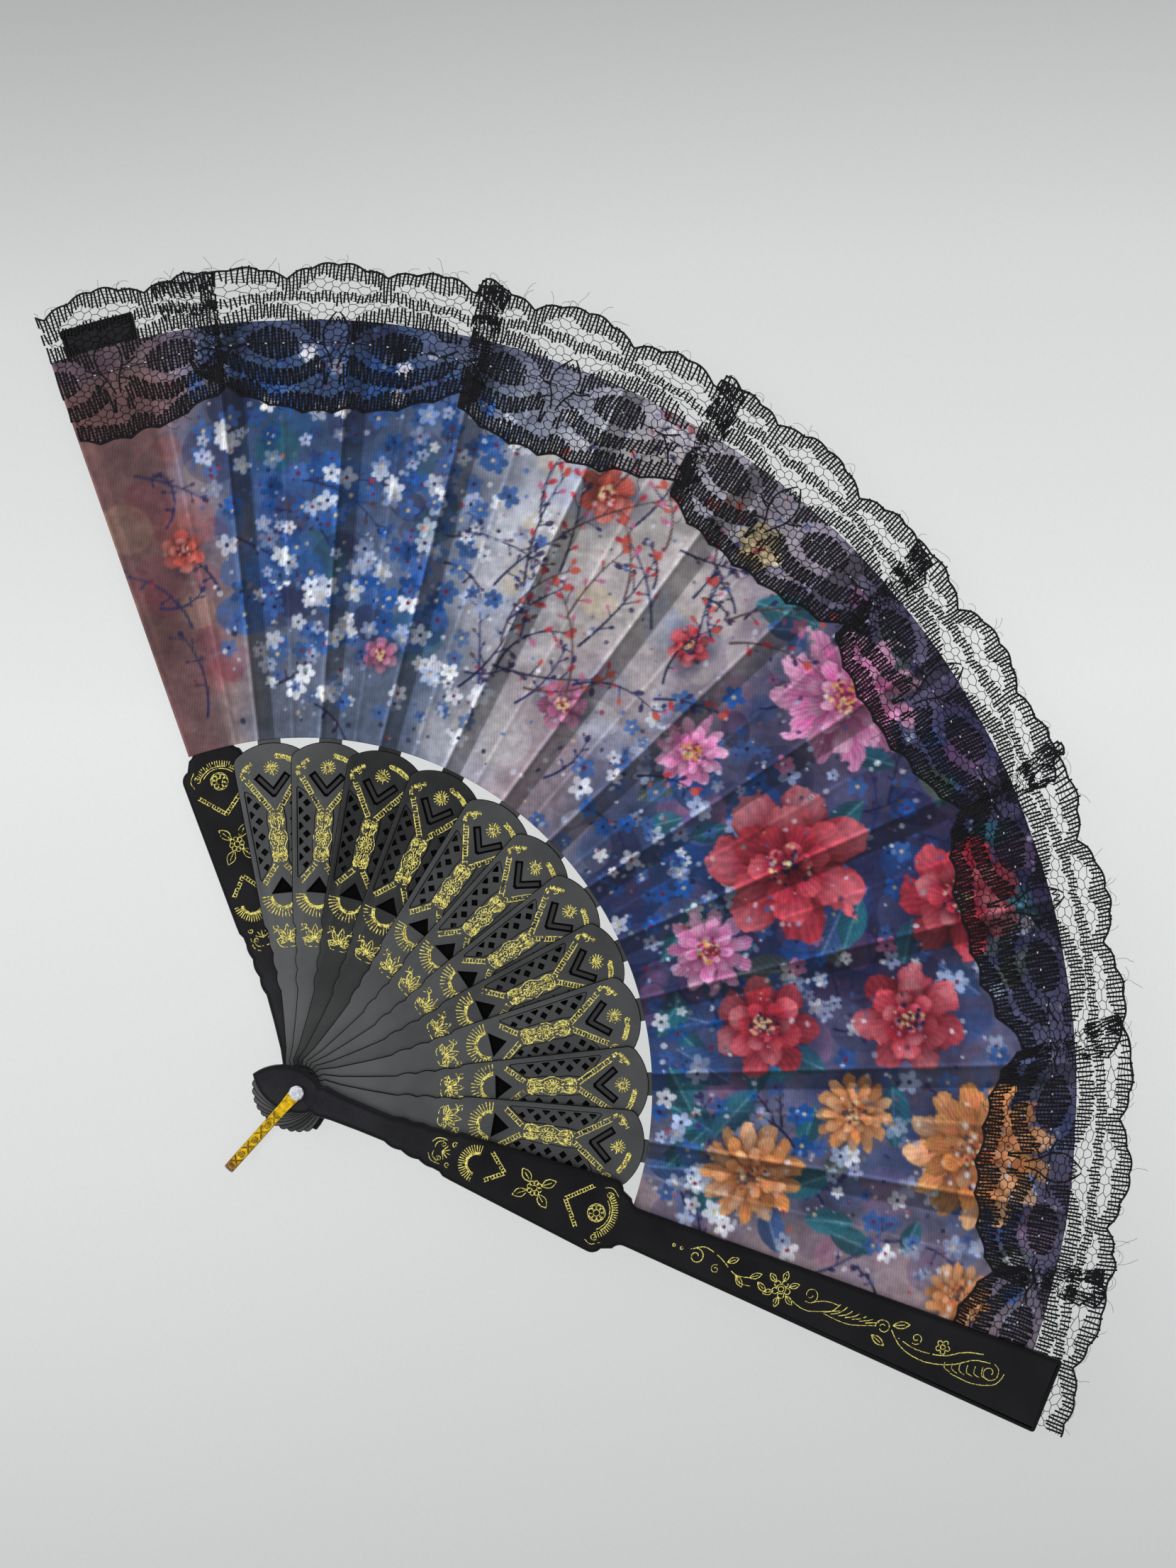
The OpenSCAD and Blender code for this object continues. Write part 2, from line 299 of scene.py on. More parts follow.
def tubes(lines, width, height):
    """Closed flat threads along lines of x, y, z points: returns points and faces.

    Each thread is four-sided, `width` across in the plane of the fan and `height` thick. Both may be
    one number or one for each line."""
    points, faces, count = [], [], 0
    width = np.broadcast_to(width, len(lines))
    height = np.broadcast_to(height, len(lines))
    for line, w, h in zip(lines, width, height):
        line = np.asarray(line, float)
        n = len(line)
        if n < 2:
            continue
        run = np.gradient(line[:, :2], axis=0)
        run /= np.maximum(np.hypot(run[:, 0], run[:, 1]), 1e-9)[:, None]
        side = np.stack([-run[:, 1], run[:, 0], np.zeros(n)], 1) * w / 2
        lift = np.array([0, 0, h / 2])
        points.append(np.stack([line + side, line + lift, line - side, line - lift], 1).reshape(-1, 3))
        ring = count + 4 * np.arange(n - 1)[:, None]
        k = np.arange(4)
        faces.append(np.stack([ring + k, ring + (k + 1) % 4, ring + 4 + (k + 1) % 4, ring + 4 + k],
                              -1).reshape(-1, 4))
        end = count + 4 * (n - 1)
        faces.append(np.array([[count + 3, count + 2, count + 1, count],
                               [end, end + 1, end + 2, end + 3]]))
        count += 4 * n
    return np.concatenate(points), np.concatenate(faces)


def value_noise(x, y, scale, seed):
    """Smooth noise from 0 to 1 with cells of `scale` millimetres."""
    table = np.random.default_rng(seed).random((256, 256))
    fx, fy = x / scale, y / scale
    ix, iy = np.floor(fx).astype(int), np.floor(fy).astype(int)
    tx, ty = fx - ix, fy - iy
    tx, ty = tx * tx * (3 - 2 * tx), ty * ty * (3 - 2 * ty)
    x0, x1, y0, y1 = ix & 255, (ix + 1) & 255, iy & 255, (iy + 1) & 255
    low_row = table[y0, x0] * (1 - tx) + table[y0, x1] * tx
    high_row = table[y1, x0] * (1 - tx) + table[y1, x1] * tx
    return low_row * (1 - ty) + high_row * ty


def fractal(x, y, scale, seed, octaves=4):
    total, weight = 0.0, 0.0
    for k in range(octaves):
        total = total + value_noise(x, y, scale / 2 ** k, seed + k) / 1.6 ** k
        weight += 1 / 1.6 ** k
    return total / weight


def smooth(x):
    x = np.clip(x, 0, 1)
    return x * x * (3 - 2 * x)


# ------------------------------------------------------------------ cloth shape

LEAF_IN, LEAF_OUT = 95.3, 209.8
LEAF_T = high("leaf_on_rib_06")[2] - low("leaf_on_rib_06")[2]
SLIP_W, SLIP_FLARE, CREASE_MARGIN = 6.3, 0.008, 0.1
END_LEFT, GLUED_RIGHT, TAB_LEFT, TAB_RIGHT = 4.0, 3.8, 1.3, 1.9
# Depth of a pleat and the length over which it deepens, height and width of the ridge along a crease,
# depth of the ripples
VALLEY, VALLEY_RUN, RIDGE, RIDGE_W, RIPPLE = 0.8, 113.5, 0.15, 0.9, 0.22


def slip_half(r):
    return SLIP_W / 2 + SLIP_FLARE * (r - LEAF_IN) + CREASE_MARGIN


def left_crease(i, r):
    if i == 0:
        return ANGLE[0] + END_LEFT + 0 * r
    if i == LAST:
        return ANGLE[LAST] + TAB_LEFT + 0 * r
    return ANGLE[i] + np.degrees(np.arcsin(slip_half(r) / r))


def right_crease(i, r):
    return ANGLE[i] - (TAB_RIGHT if i == LAST else GLUED_RIGHT) + 0 * r


def cloth_top(i, r, s, t):
    """Level of the satin's upper face on stick i and on the fold after it.

    s runs from 0 to 1 across the glued face, t from 0 to 1 across the fold to the next stick."""
    width = np.radians(left_crease(i, r) - right_crease(i, r)) * r
    on_slip = np.clip(2 * slip_half(r) / width, 0, 0.95)
    flap = np.clip((s - on_slip) / (1 - on_slip), 0, 1)
    depth = (0.25 if i == 0 else 0 if i == LAST else 1) * VALLEY * (0.45 + 0.55 * (r - LEAF_IN) / VALLEY_RUN)
    ridge = 0 if i in (0, LAST) else RIDGE * np.exp(-(s * width / RIDGE_W) ** 2)
    ripple = RIPPLE * (value_noise(12 * i + 4 * s + 4 * t, r / 22, 1.0, 500) - 0.5)
    face = CLOTH_Z[i] + LEAF_T - depth * flap ** 1.3 + ridge + ripple * s * (1 - s) * 4
    if i == LAST:
        return face
    rise = CLOTH_Z[i + 1] - CLOTH_Z[i]
    next_ridge = 0 if i + 1 == LAST else RIDGE * np.exp(-((1 - t) * 12 / RIDGE_W) ** 2)
    fold = CLOTH_Z[i] + LEAF_T + rise * t - depth * (1 - t) ** 1.7 + next_ridge + ripple * t * (1 - t) * 4
    return np.where(t > 0, fold, face)


def on_cloth(r, angle):
    """For points at radius r and angle: the interval, the share of the way across the fold to the next stick,
    the level.
    """
    r, angle = np.broadcast_arrays(np.asarray(r, float), np.asarray(angle, float))
    interval = np.zeros(r.shape, int)
    share = np.zeros(r.shape)
    z = np.zeros(r.shape)
    for i in range(LAST + 1):
        left, right = left_crease(i, r), right_crease(i, r)
        after = left_crease(i + 1, r) if i < LAST else right - 30
        inside = ((angle <= left) | (i == 0)) & ((angle > after) | (i == LAST))
        s = np.clip((left - angle) / (left - right), 0, 1)
        t = np.clip((right - angle) / (right - after), 0, 1) if i < LAST else 0 * r
        interval[inside], share[inside] = i, t[inside]
        z[inside] = cloth_top(i, r, s, t)[inside]
    return interval, share, z


def bend(piece, i):
    """Puts a piece on the front guard's body if i is the last stick; any other piece only gets its placement
    baked into its mesh.
    """
    if i == LAST:
        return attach(piece, BODIES[i])
    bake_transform(piece)
    return piece


# ------------------------------------------------------------------ the print on the satin

CELL = 0.25
SHEET_X, SHEET_Y = (-202.0, 202.0), (34.0, 216.0)


class Canvas:
    """A flat sheet of cloth that is painted with brush shapes, in sRGB. Brush marks turn in radians."""

    def __init__(self):
        self.xs = np.arange(*SHEET_X, CELL)
        self.ys = np.arange(*SHEET_Y, CELL)
        self.x, self.y = np.meshgrid(self.xs, self.ys)
        self.r = np.hypot(self.x, self.y)
        self.angle = np.degrees(np.arctan2(self.y, self.x))
        self.paint = np.zeros((*self.x.shape, 3))

    def window(self, x, y, reach):
        i0, i1 = np.searchsorted(self.xs, (x - reach, x + reach))
        j0, j1 = np.searchsorted(self.ys, (y - reach, y + reach))
        spot = (slice(j0, j1), slice(i0, i1))
        return spot, self.x[spot] - x, self.y[spot] - y

    def lay(self, spot, cover, colour):
        cover = cover[..., None]
        self.paint[spot] = self.paint[spot] * (1 - cover) + np.asarray(colour) * cover

    def dab(self, x, y, size, colour, cover=1.0, soft=0.5, flat=1.0, turn=0.0):
        """Oval brush mark."""
        spot, u, v = self.window(x, y, size * 1.3 + soft)
        c, s = math.cos(turn), math.sin(turn)
        u, v = u * c + v * s, (v * c - u * s) / flat
        self.lay(spot, cover * smooth((size - np.hypot(u, v)) / soft + 0.5), colour)

    def stroke(self, points, width, colour, cover=0.9):
        """Brush line through points, thinning to its end."""
        points = np.asarray(points, float)
        t = np.linspace(0, 1, len(points))
        steps = int(np.hypot(*np.diff(points, axis=0).T).sum() / 0.3) + 2
        at = np.linspace(0, 1, steps)
        for a, x, y in zip(at, np.interp(at, t, points[:, 0]), np.interp(at, t, points[:, 1])):
            self.dab(x, y, width * (1 - 0.6 * a) / 2, colour, cover, 0.4)

    def look_up(self, x, y):
        fx = (np.asarray(x) - self.xs[0]) / CELL
        fy = (np.asarray(y) - self.ys[0]) / CELL
        ix = np.clip(fx.astype(int), 0, len(self.xs) - 2)
        iy = np.clip(fy.astype(int), 0, len(self.ys) - 2)
        tx, ty = (fx - ix)[..., None], (fy - iy)[..., None]
        p = self.paint
        return ((p[iy, ix] * (1 - tx) + p[iy, ix + 1] * tx) * (1 - ty)
                + (p[iy + 1, ix] * (1 - tx) + p[iy + 1, ix + 1] * tx) * ty)


WHITE, ICE, CORNFLOWER, AZURE, NAVY, INDIGO, PLUM, WINE, ROSE, PINK = np.array([
    (212, 216, 228), (150, 164, 198), (52, 88, 150), (24, 76, 150), (20, 24, 56), (36, 36, 76),
    (70, 46, 78), (104, 18, 44), (180, 100, 140), (208, 140, 182)]) / 255
MAGENTA, SCARLET, CORAL, ORANGE, AMBER, STRAW, TEAL, SAGE, CREAM, UMBER, HAZE, MIST = np.array([
    (162, 26, 100), (176, 44, 58), (184, 78, 68), (190, 100, 52), (202, 136, 72), (200, 178, 134),
    (24, 78, 92), (108, 124, 116), (184, 178, 172), (74, 54, 58), (118, 108, 140), (96, 104, 140)]) / 255

# Ground colours: angle on the fan, colour near the rim, colour near the ribs
GROUND = [
    (24, (142, 122, 126), (128, 112, 116)), (33, (124, 110, 120), (122, 108, 118)),
    (37, (74, 74, 96), (82, 80, 96)), (44, (88, 88, 116), (78, 84, 110)),
    (54, (78, 78, 110), (64, 76, 112)), (62, (34, 34, 62), (26, 32, 62)),
    (73, (48, 52, 88), (22, 40, 78)), (84, (80, 74, 102), (38, 54, 90)),
    (91, (140, 130, 144), (66, 72, 100)), (99, (164, 156, 162), (114, 104, 116)),
    (108, (168, 162, 162), (148, 134, 142)), (118, (160, 162, 172), (140, 142, 156)),
    (124, (92, 102, 128), (84, 98, 124)), (134, (56, 78, 116), (88, 98, 120)),
    (143, (52, 72, 106), (92, 98, 114)), (148, (112, 102, 118), (130, 114, 116)),
    (151, (106, 78, 80), (118, 88, 92)), (158, (104, 74, 74), (108, 76, 76))]


def paint_ground(c):
    drift = (fractal(c.x, c.y, 34, 11) - 0.5) * 16
    deep = smooth((c.r - 104 + (fractal(c.x, c.y, 26, 21) - 0.5) * 50) / 62)
    angles, rims, roots = (np.array(column) for column in zip(*GROUND))
    for k in range(3):
        rim, root = (np.interp(c.angle + drift, angles, tones[:, k] / 255) for tones in (rims, roots))
        c.paint[..., k] = root * (1 - deep) + rim * deep
    wash = 0.68 + 0.64 * fractal(c.x, c.y, 13, 31, 5)
    streak = 0.94 + 0.12 * fractal(c.x * 0.8 + c.y * 0.6, (c.y * 0.8 - c.x * 0.6) * 4, 9, 41, 3)
    c.paint *= (wash * streak)[..., None]


def paint_blooms(c, rng, count, angles, radii, sizes, colours, petals=5):
    """Small blossoms strewn over part of the cloth."""
    for _ in range(count):
        x, y = polar(rng.uniform(*radii), rng.uniform(*angles))
        size, turn = rng.uniform(*sizes), rng.uniform(0, 6.3)
        colour = colours[rng.integers(len(colours))] * rng.uniform(0.86, 1.1)
        drop = rng.uniform(0.55, 0.98)
        for k in range(petals):
            a = turn + 2 * math.pi * k / petals + rng.uniform(-0.15, 0.15)
            c.dab(x + 0.62 * size * math.cos(a), y + 0.62 * size * math.sin(a), size * 0.5,
                  np.clip(colour * rng.uniform(0.9, 1.12), 0, 1), drop, 0.4, 0.72, a)
        c.dab(x, y, size * 0.2, (STRAW, NAVY, WINE)[rng.integers(3)], 0.9, 0.35)


def paint_flower(c, rng, r, angle, size, rings, tip, base, heart, notch=0.45):
    """Round flower of overlapping rings of petals, from the outermost to the heart."""
    x, y = polar(r, angle)
    for _ in range(9):
        a, d = rng.uniform(0, 6.3), rng.uniform(0.3, 1.0) * size
        c.dab(x + d * math.cos(a), y + d * math.sin(a), size * rng.uniform(0.3, 0.6), NAVY, 0.22, size * 0.4)
    turn = rng.uniform(0, 6.3)
    for ring, (share, petals) in enumerate(rings):
        reach = size * share
        spot, u, v = c.window(x, y, reach * 1.25)
        rho, phi = np.hypot(u, v) / reach, np.arctan2(v, u)
        wobble = fractal(u + 40 * ring, v, 3.5, 300 + ring + int(size * 7), 3) - 0.5
        wave = np.abs(np.cos((phi + turn + 0.25 * wobble) * petals / 2))
        edge = (notch + (1 - notch) * wave ** 0.55) * (1 + 0.22 * wobble)
        tone = np.clip(rho / edge, 0, 1)[..., None]
        streak = np.sin(phi * petals * 6 + 9 * wobble) * 0.5 + 0.5
        colour = base * (1 - tone ** 1.3) + tip * tone ** 1.3
        colour = colour * (1 - 0.45 * ((1 - wave) ** 2)[..., None])
        petal = np.floor((phi + turn) * petals / (2 * math.pi) + 0.5).astype(int) % petals
        light = rng.uniform(0.74, 1.22, petals)[petal]
        colour = colour * (light * (0.86 + 0.2 * streak + 0.3 * wobble))[..., None]
        pale = rng.uniform(0, 0.34, petals)[petal] * smooth((rho / edge - 0.45) / 0.4) * wave
        colour += (1 - colour) * pale[..., None]
        c.lay(spot, 0.94 * smooth((edge - rho) * reach / 0.6 + 0.5), np.clip(colour, 0, 1))
        turn += math.pi / petals + rng.uniform(-0.2, 0.2)
    for _ in range(int(18 + size * 2)):
        a, d = rng.uniform(0, 6.3), rng.uniform(0, 0.2) ** 0.8 * size
        c.dab(x + d * math.cos(a), y + d * math.sin(a), rng.uniform(0.35, 0.7),
              heart[rng.integers(len(heart))], 0.85, 0.35)


def paint_leaf(c, r, angle, turn, length, colour):
    """Pointed leaf with a lighter vein."""
    spot, u, v = c.window(*polar(r, angle), length * 0.6)
    k, s = math.cos(turn), math.sin(turn)
    along, across = (u * k + v * s) / length + 0.5, v * k - u * s
    inside = np.clip(along, 0, 1)
    half = length * 0.26 * np.sin(np.pi * inside) ** 0.8
    cover = smooth((half - np.abs(across)) / 0.5 + 0.5) * (along > 0) * (along < 1)
    veins = 0.5 + 0.5 * np.cos((inside * 9 - np.abs(across) / length * 9) * 2 * np.pi)
    vein = np.exp(-(across / 0.35) ** 2) * 0.5 + 0.14 * veins
    shade = 0.75 + 0.35 * smooth(across / half.max() + 0.5)
    c.lay(spot, 0.85 * cover, np.clip(colour * shade[..., None] + vein[..., None] * 0.35, 0, 1))


def paint_spray(c, rng, r, angle, turn, length, line, tips, tip_size):
    """Thin curved stem with short side twigs that end in buds or tiny leaves."""
    x, y = polar(r, angle)
    steps, heading = 14, turn
    bend_rate = rng.uniform(-1.0, 1.0) / length
    points = [(x, y)]
    for _ in range(steps):
        heading += bend_rate * length / steps * 1.6
        x, y = x + length / steps * math.cos(heading), y + length / steps * math.sin(heading)
        points.append((x, y))
    c.stroke(points, 0.7, line, 0.75)
    for k in range(3, steps, 2):
        side = heading + (1 if k % 4 == 1 else -1) * rng.uniform(0.5, 1.0)
        reach = length * rng.uniform(0.08, 0.16)
        x0, y0 = points[k]
        x1, y1 = x0 + reach * math.cos(side), y0 + reach * math.sin(side)
        c.stroke([(x0, y0), (x1, y1)], 0.5, line, 0.7)
        c.dab(x1, y1, tip_size * rng.uniform(0.7, 1.2), tips[rng.integers(len(tips))], 0.85, 0.4, 0.6, side)
    c.dab(*points[-1], tip_size * 1.3, tips[0], 0.9, 0.4, 0.7, heading)


def paint_specks(c, rng, count, angles, radii, sizes, colours, cover=0.8):
    for _ in range(count):
        x, y = polar(rng.uniform(*radii), rng.uniform(*angles))
        c.dab(x, y, rng.uniform(*sizes), colours[rng.integers(len(colours))],
              cover * rng.uniform(0.5, 1), 0.4, rng.uniform(0.6, 1), rng.uniform(0, 3))


# Soft patches and blossoms: count, angles, radii, sizes, colours and how far a patch covers
PATCHES = [
    (60, (123, 147), (125, 208), (4, 9), (NAVY, AZURE, CORNFLOWER, INDIGO, TEAL), 0.5),
    (55, (50, 90), (97, 208), (4, 10), (NAVY, INDIGO, AZURE, PLUM), 0.5),
    (40, (28, 50), (97, 208), (3, 8), (INDIGO, CORNFLOWER, PLUM, ROSE), 0.35),
    (45, (88, 118), (100, 205), (3, 9), (CREAM, WHITE, STRAW, ICE), 0.35),
    (26, (147, 157), (98, 208), (3, 8), (CORAL, UMBER, WINE, STRAW), 0.22),
    (90, (30, 92), (97, 205), (3, 9), (HAZE, MIST, ROSE, AZURE), 0.3)]
BLOOMS = [
    (115, (121, 147), (118, 204), (1.6, 3.2), (AZURE, CORNFLOWER, AZURE * 0.8)),
    (215, (113, 148), (104, 201), (1.4, 3.0), (WHITE, ICE, WHITE, CORNFLOWER)),
    (95, (66, 97), (97, 150), (1.3, 3.1), (AZURE, CORNFLOWER, ICE, WHITE)),
    (150, (30, 62), (97, 202), (1.3, 3.2), (AZURE, CORNFLOWER, ICE, WHITE)),
    (60, (56, 92), (130, 202), (1.3, 3.0), (AZURE, CORNFLOWER, ICE, ROSE))]
# Large flowers: their radius, angle and size; rings of petals; colours of tip, base and heart; notch
FLOWERS = [
    (((182, 84, 20), (140, 89, 10), (117, 67, 12)), ((1.0, 11), (0.78, 10), (0.55, 9), (0.34, 7)),
     PINK, MAGENTA, (STRAW, AMBER, WINE), 0.45),
    (((146, 73, 22), (186, 64.5, 17), (127, 56, 14), (166, 55, 15)),
     ((1.0, 7), (0.74, 6), (0.5, 6), (0.28, 5)), SCARLET, WINE, (NAVY, WINE, STRAW), 0.62),
    (((184, 43, 20), (150, 46, 11), (124, 38, 14), (186, 31, 9)), ((1.0, 13), (0.76, 12), (0.5, 9), (0.3, 7)),
     AMBER, CORAL * 0.9, (UMBER, STRAW, ORANGE), 0.6)]
FLOWERS += [((spot,), ((1.0, 6), (0.66, 5), (0.35, 5)), colour, colour * 0.62, (WINE, STRAW), 0.6)
            for spot, colour in (((182, 111, 8), CORAL), ((126, 104, 7), ROSE), ((160, 97, 6), SCARLET),
                                 ((193, 98, 7), STRAW), ((150, 151, 6), CORAL), ((120, 128, 5), ROSE))]


def paint_leaf_print():
    """A generic floral print in the colours that such fans have."""
    c = Canvas()
    rng = np.random.default_rng(5)
    paint_ground(c)
    for patch in PATCHES:
        paint_specks(c, rng, *patch)
    for _ in range(70):
        paint_spray(c, rng, rng.uniform(100, 190), rng.uniform(26, 157), rng.uniform(0.2, 2.9),
                    rng.uniform(10, 30), NAVY * rng.uniform(0.8, 1.8), (INDIGO, UMBER, PLUM), 0.8)
    for _ in range(64):
        paint_leaf(c, rng.uniform(100, 203), rng.uniform(32, 93), rng.uniform(0, 6.3),
                   rng.uniform(9, 19), (TEAL, TEAL * 1.15, SAGE * 0.6, CORNFLOWER * 0.8)[rng.integers(4)])
    for bloom in BLOOMS:
        paint_blooms(c, rng, *bloom)
    for spots, *look in FLOWERS:
        for spot in spots:
            paint_flower(c, rng, *spot, *look)
    for _ in range(26):
        paint_spray(c, rng, rng.uniform(110, 185), rng.uniform(90, 116), rng.uniform(0.4, 2.6),
                    rng.uniform(16, 34), (UMBER, INDIGO, NAVY)[rng.integers(3)],
                    (CORAL, SCARLET, ROSE, INDIGO), 1.1)
    paint_specks(c, rng, 900, (28, 149), (97, 209), (0.3, 0.9), (WHITE, ICE, WHITE, CORNFLOWER, NAVY))
    paint_specks(c, rng, 260, (28, 157), (97, 209), (0.3, 0.8), (SCARLET, CORAL, WINE, STRAW, SAGE))
    c.paint *= (0.86 + 0.28 * fractal(c.x, c.y, 1.6, 77, 3))[..., None]
    # Greyer and more violet under the lace
    rim = 0.4 * smooth((c.r - 197) / 8)[..., None]
    violet = np.array((8, 4, 34)) / 255
    c.paint = c.paint * (1 - rim) + rim * 0.85 * (c.paint.mean(-1, keepdims=True) + violet)
    return c


# ------------------------------------------------------------------ satin leaf

ROWS, FACE_COLUMNS, FOLD_COLUMNS = 250, 34, 36
SATIN_T = 0.16


def satin_material(name, fade):
    """Printed satin: the print is a colour attribute; fade is how far the back has lost it."""
    n = Nodes(name)
    colour = n.add("Attribute", attribute_name="print").outputs["Color"]
    bands = {"wave_type": "BANDS", "Distortion": 0.6, "Vector": n.spot()}
    twill, weft = (n.add("TexWave", bands_direction=direction, Scale=scale, Detail_Scale=detail,
                         **bands).outputs["Fac"]
                   for direction, scale, detail in (("DIAGONAL", 620.0, 300.0), ("X", 560.0, 1.0)))
    threads = n.maths("MULTIPLY", n.range(twill, 0.90, 1.08), n.range(weft, 0.93, 1.05))
    slub = n.range(n.noise(260, 4, 0.7), 0.90, 1.10, 0.3, 0.7)
    faded = n.mix(fade, n.scaled(colour, n.maths("MULTIPLY", threads, slub)), srgb(176, 172, 176))
    return n.finish(Base_Color=faded, Roughness=n.range(n.noise(90, 2), 0.40, 0.55),
                    Normal=n.bump(twill, 0.35, 0.00006, Normal=n.bump(n.noise(70, 3), 0.3, 0.0005)),
                    Sheen_Weight=0.02, Sheen_Roughness=0.4, Specular_IOR_Level=0.14)


def leaf_grid(i):
    """Radius, angle, face share and fold share of every point of the satin from stick i to the next."""
    r = np.linspace(LEAF_IN, LEAF_OUT, ROWS)[:, None]
    s = np.linspace(0, 1, FACE_COLUMNS)[None, :]
    left, right = left_crease(i, r), right_crease(i, r)
    face = left + (right - left) * s
    if i == LAST:
        return r + 0 * s, face, s + 0 * r, 0 * (r + s)
    t = np.linspace(0, 1, FOLD_COLUMNS + 1)[None, 1:]
    fold = right + (left_crease(i + 1, r) - right) * t
    angle = np.concatenate([face, fold], 1)
    s = np.concatenate([s + 0 * r, 1 + 0 * fold], 1)
    t = np.concatenate([0 * face, t + 0 * r], 1)
    return r + 0 * angle, angle, s, t


def slip_shadow(i, r, angle):
    """How dark the slip behind the thin satin makes it, with painted highlights along the creases, partly the
    wear of the folds, and painted shade beside them.
    """
    across = np.radians(angle - ANGLE[i]) * r
    half = slip_half(r) - CREASE_MARGIN
    tone = 1 - (0.0 if i in (0, LAST) else 0.32) * smooth((half - 0.9 - np.abs(across - 0.5)) / 0.7 + 0.5)
    tone *= 1 - (0.12 if i == 0 else 0) * smooth((5.4 + (r - 98) * 0.042 - np.abs(across)) / 0.8)
    creases = [(left_crease(i, r), 0.30, 0.10), (right_crease(i, r), 0.16, 0.10)]
    if i < LAST:
        creases.append((left_crease(i + 1, r), 0.30, 0))
    for line, crease_highlight, crease_shade in creases:
        # Each crease gets a painted highlight, and a painted shade line just beside it
        d = np.radians(angle - line) * r
        tone += crease_highlight * np.exp(-(d / 0.45) ** 2) - crease_shade * np.exp(-((d + 1.1) / 0.7) ** 2)
    return tone


def make_leaf(canvas):
    front, back = satin_material("satin_print", 0.0), satin_material("satin_back", 0.45)
    for i in range(LAST + 1):
        r, angle, s, t = leaf_grid(i)
        x, y = polar(r, angle)
        points = np.stack([x, y, cloth_top(i, r, s, t)], -1).reshape(-1, 3)
        rows, columns = r.shape
        corner = (np.arange(rows - 1)[:, None] * columns + np.arange(columns - 1)).reshape(-1, 1)
        faces = corner + np.array([0, 1, columns + 1, columns])
        piece = new_piece(f"satin_{i + 1:02d}", points, faces, front)
        piece.data.materials.append(back)
        paint = np.clip(canvas.look_up(x, y) * slip_shadow(i, r, angle)[..., None], 0, 1)
        paint = linear(np.concatenate([paint, np.ones((rows, columns, 1))], -1))
        colours = piece.data.color_attributes.new("print", "FLOAT_COLOR", "POINT")
        colours.data.foreach_set("color", paint.ravel().astype(np.float32))
        thick = piece.modifiers.new("thickness", "SOLIDIFY")
        thick.thickness, thick.offset, thick.material_offset = SATIN_T * MM, -1, 1
        bend(piece, i)
        nodes = [GLUED[i], f"leaf_fold_{i + 1:02d}"][:1 if i == LAST else 2]
        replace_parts(piece, *nodes)


# ------------------------------------------------------------------ lace edging

# The lace's own pattern: u runs from -PITCH to PITCH between two gathers, v outwards from 0
PITCH = 40.0
LACE_MIDDLE, LACE_HALF = 204.0, 20.0
LACE_LEFT, LACE_RIGHT = 157.6, 23.9
HATCH_STEP = 0.95
# Room for the lace between the satin and the next slip when the fan is closed
LACE_ROOM = 0.34
# Each length of lace between two gathers: middle of its motif, its left end, its right end
LENGTHS = [(153.3, 157.6, 144.6), (135.8, 147.6, 123.8), (117.9, 125.6, 105.2), (98.7, 107.0, 87.0),
           (80.8, 89.2, 70.3), (62.5, 71.8, 50.8), (42.5, 52.2, 33.2), (24.9, 34.8, 24.0)]
# Lengths whose left corner stands out more, and how far the corners stand out
BOLD, BOLD_CORNER, LEFT_CORNER, RIGHT_CORNER = (2, 3, 5), 9.0, 5.5, 1.5
# Share of a half length that lies flat before the gather
FLAT_SHARE = 0.58
# Flat width of the lace for each millimetre of rim, and radius of the seam that holds it
GATHERING, SEAM_R = 1.25, 203.2


def lower_edge(u):
    return 11.5 * (np.abs(u) / PITCH) ** 2 + 1.1 * np.abs(np.sin(np.pi * u / 9.5))


def arches(u):
    return np.abs(np.cos(np.pi * u / 26.5))


def upper_edge(u):
    return 37.2 + 3.6 * arches(u) + 0.8 * np.abs(np.sin(np.pi * u / 6.6)) - 2.5 * (np.abs(u) / PITCH) ** 4


def lace_kind(u, v):
    """0 outside the lace, 1 in its net, 2 where it is filled with close threads."""
    side = np.abs(u)
    below, above = v - lower_edge(u), upper_edge(u) - v
    p, q = side - 17.0, v - 19.4 - 0.10 * (side - 17)
    eye = np.hypot(p / 7.4, q / 4.1) < 1
    crescent = (np.hypot(p / 11.6, q / 6.9) > 1) & (np.hypot(p / 16.6, q / 10.6) < 1)
    crescent &= (np.abs(q) > 2.4) & (side > 4.6)
    leaf = (np.abs(side - 1.9 - 0.32 * (v - 8)) < 0.95) & (v > 8) & (v < 14.5)
    chain = np.abs(above - 5.4 - 4.0 * arches(u)) < 1.2
    borders = (below < 4.2 + 0.8 * np.sin(u / 2.2)) | (above < 4.0 + 0.9 * np.sin(u / 1.9 + 1))
    close = eye | crescent | leaf | chain | borders
    return np.where((below > 0) & (above > 0), np.where(close, 2, 1), 0)


def filled_runs(u, v, shortest):
    """First and last index of each run of points that is in a filled shape."""
    change = np.diff(np.r_[0, lace_kind(u, v) == 2, 0].astype(int))
    runs = zip(np.flatnonzero(change == 1), np.flatnonzero(change == -1))
    return [(a, b) for a, b in runs if b - a > shortest]


def hatch_lines(rng):
    """Close threads across every filled shape, leaning to and fro."""
    lines = []
    v = np.arange(-1, 43, 0.25)
    for k, u in enumerate(np.arange(-PITCH, PITCH, HATCH_STEP)):
        for a, b in filled_runs(u + 0 * v, v, 4):
            lean = 0.16 * (-1) ** k + rng.uniform(-0.08, 0.08)
            lines.append([(u - lean, v[a] + rng.uniform(-0.45, 0.1)),
                          (u + lean, v[min(b, len(v) - 1)] + rng.uniform(-0.1, 0.45))])
    return lines


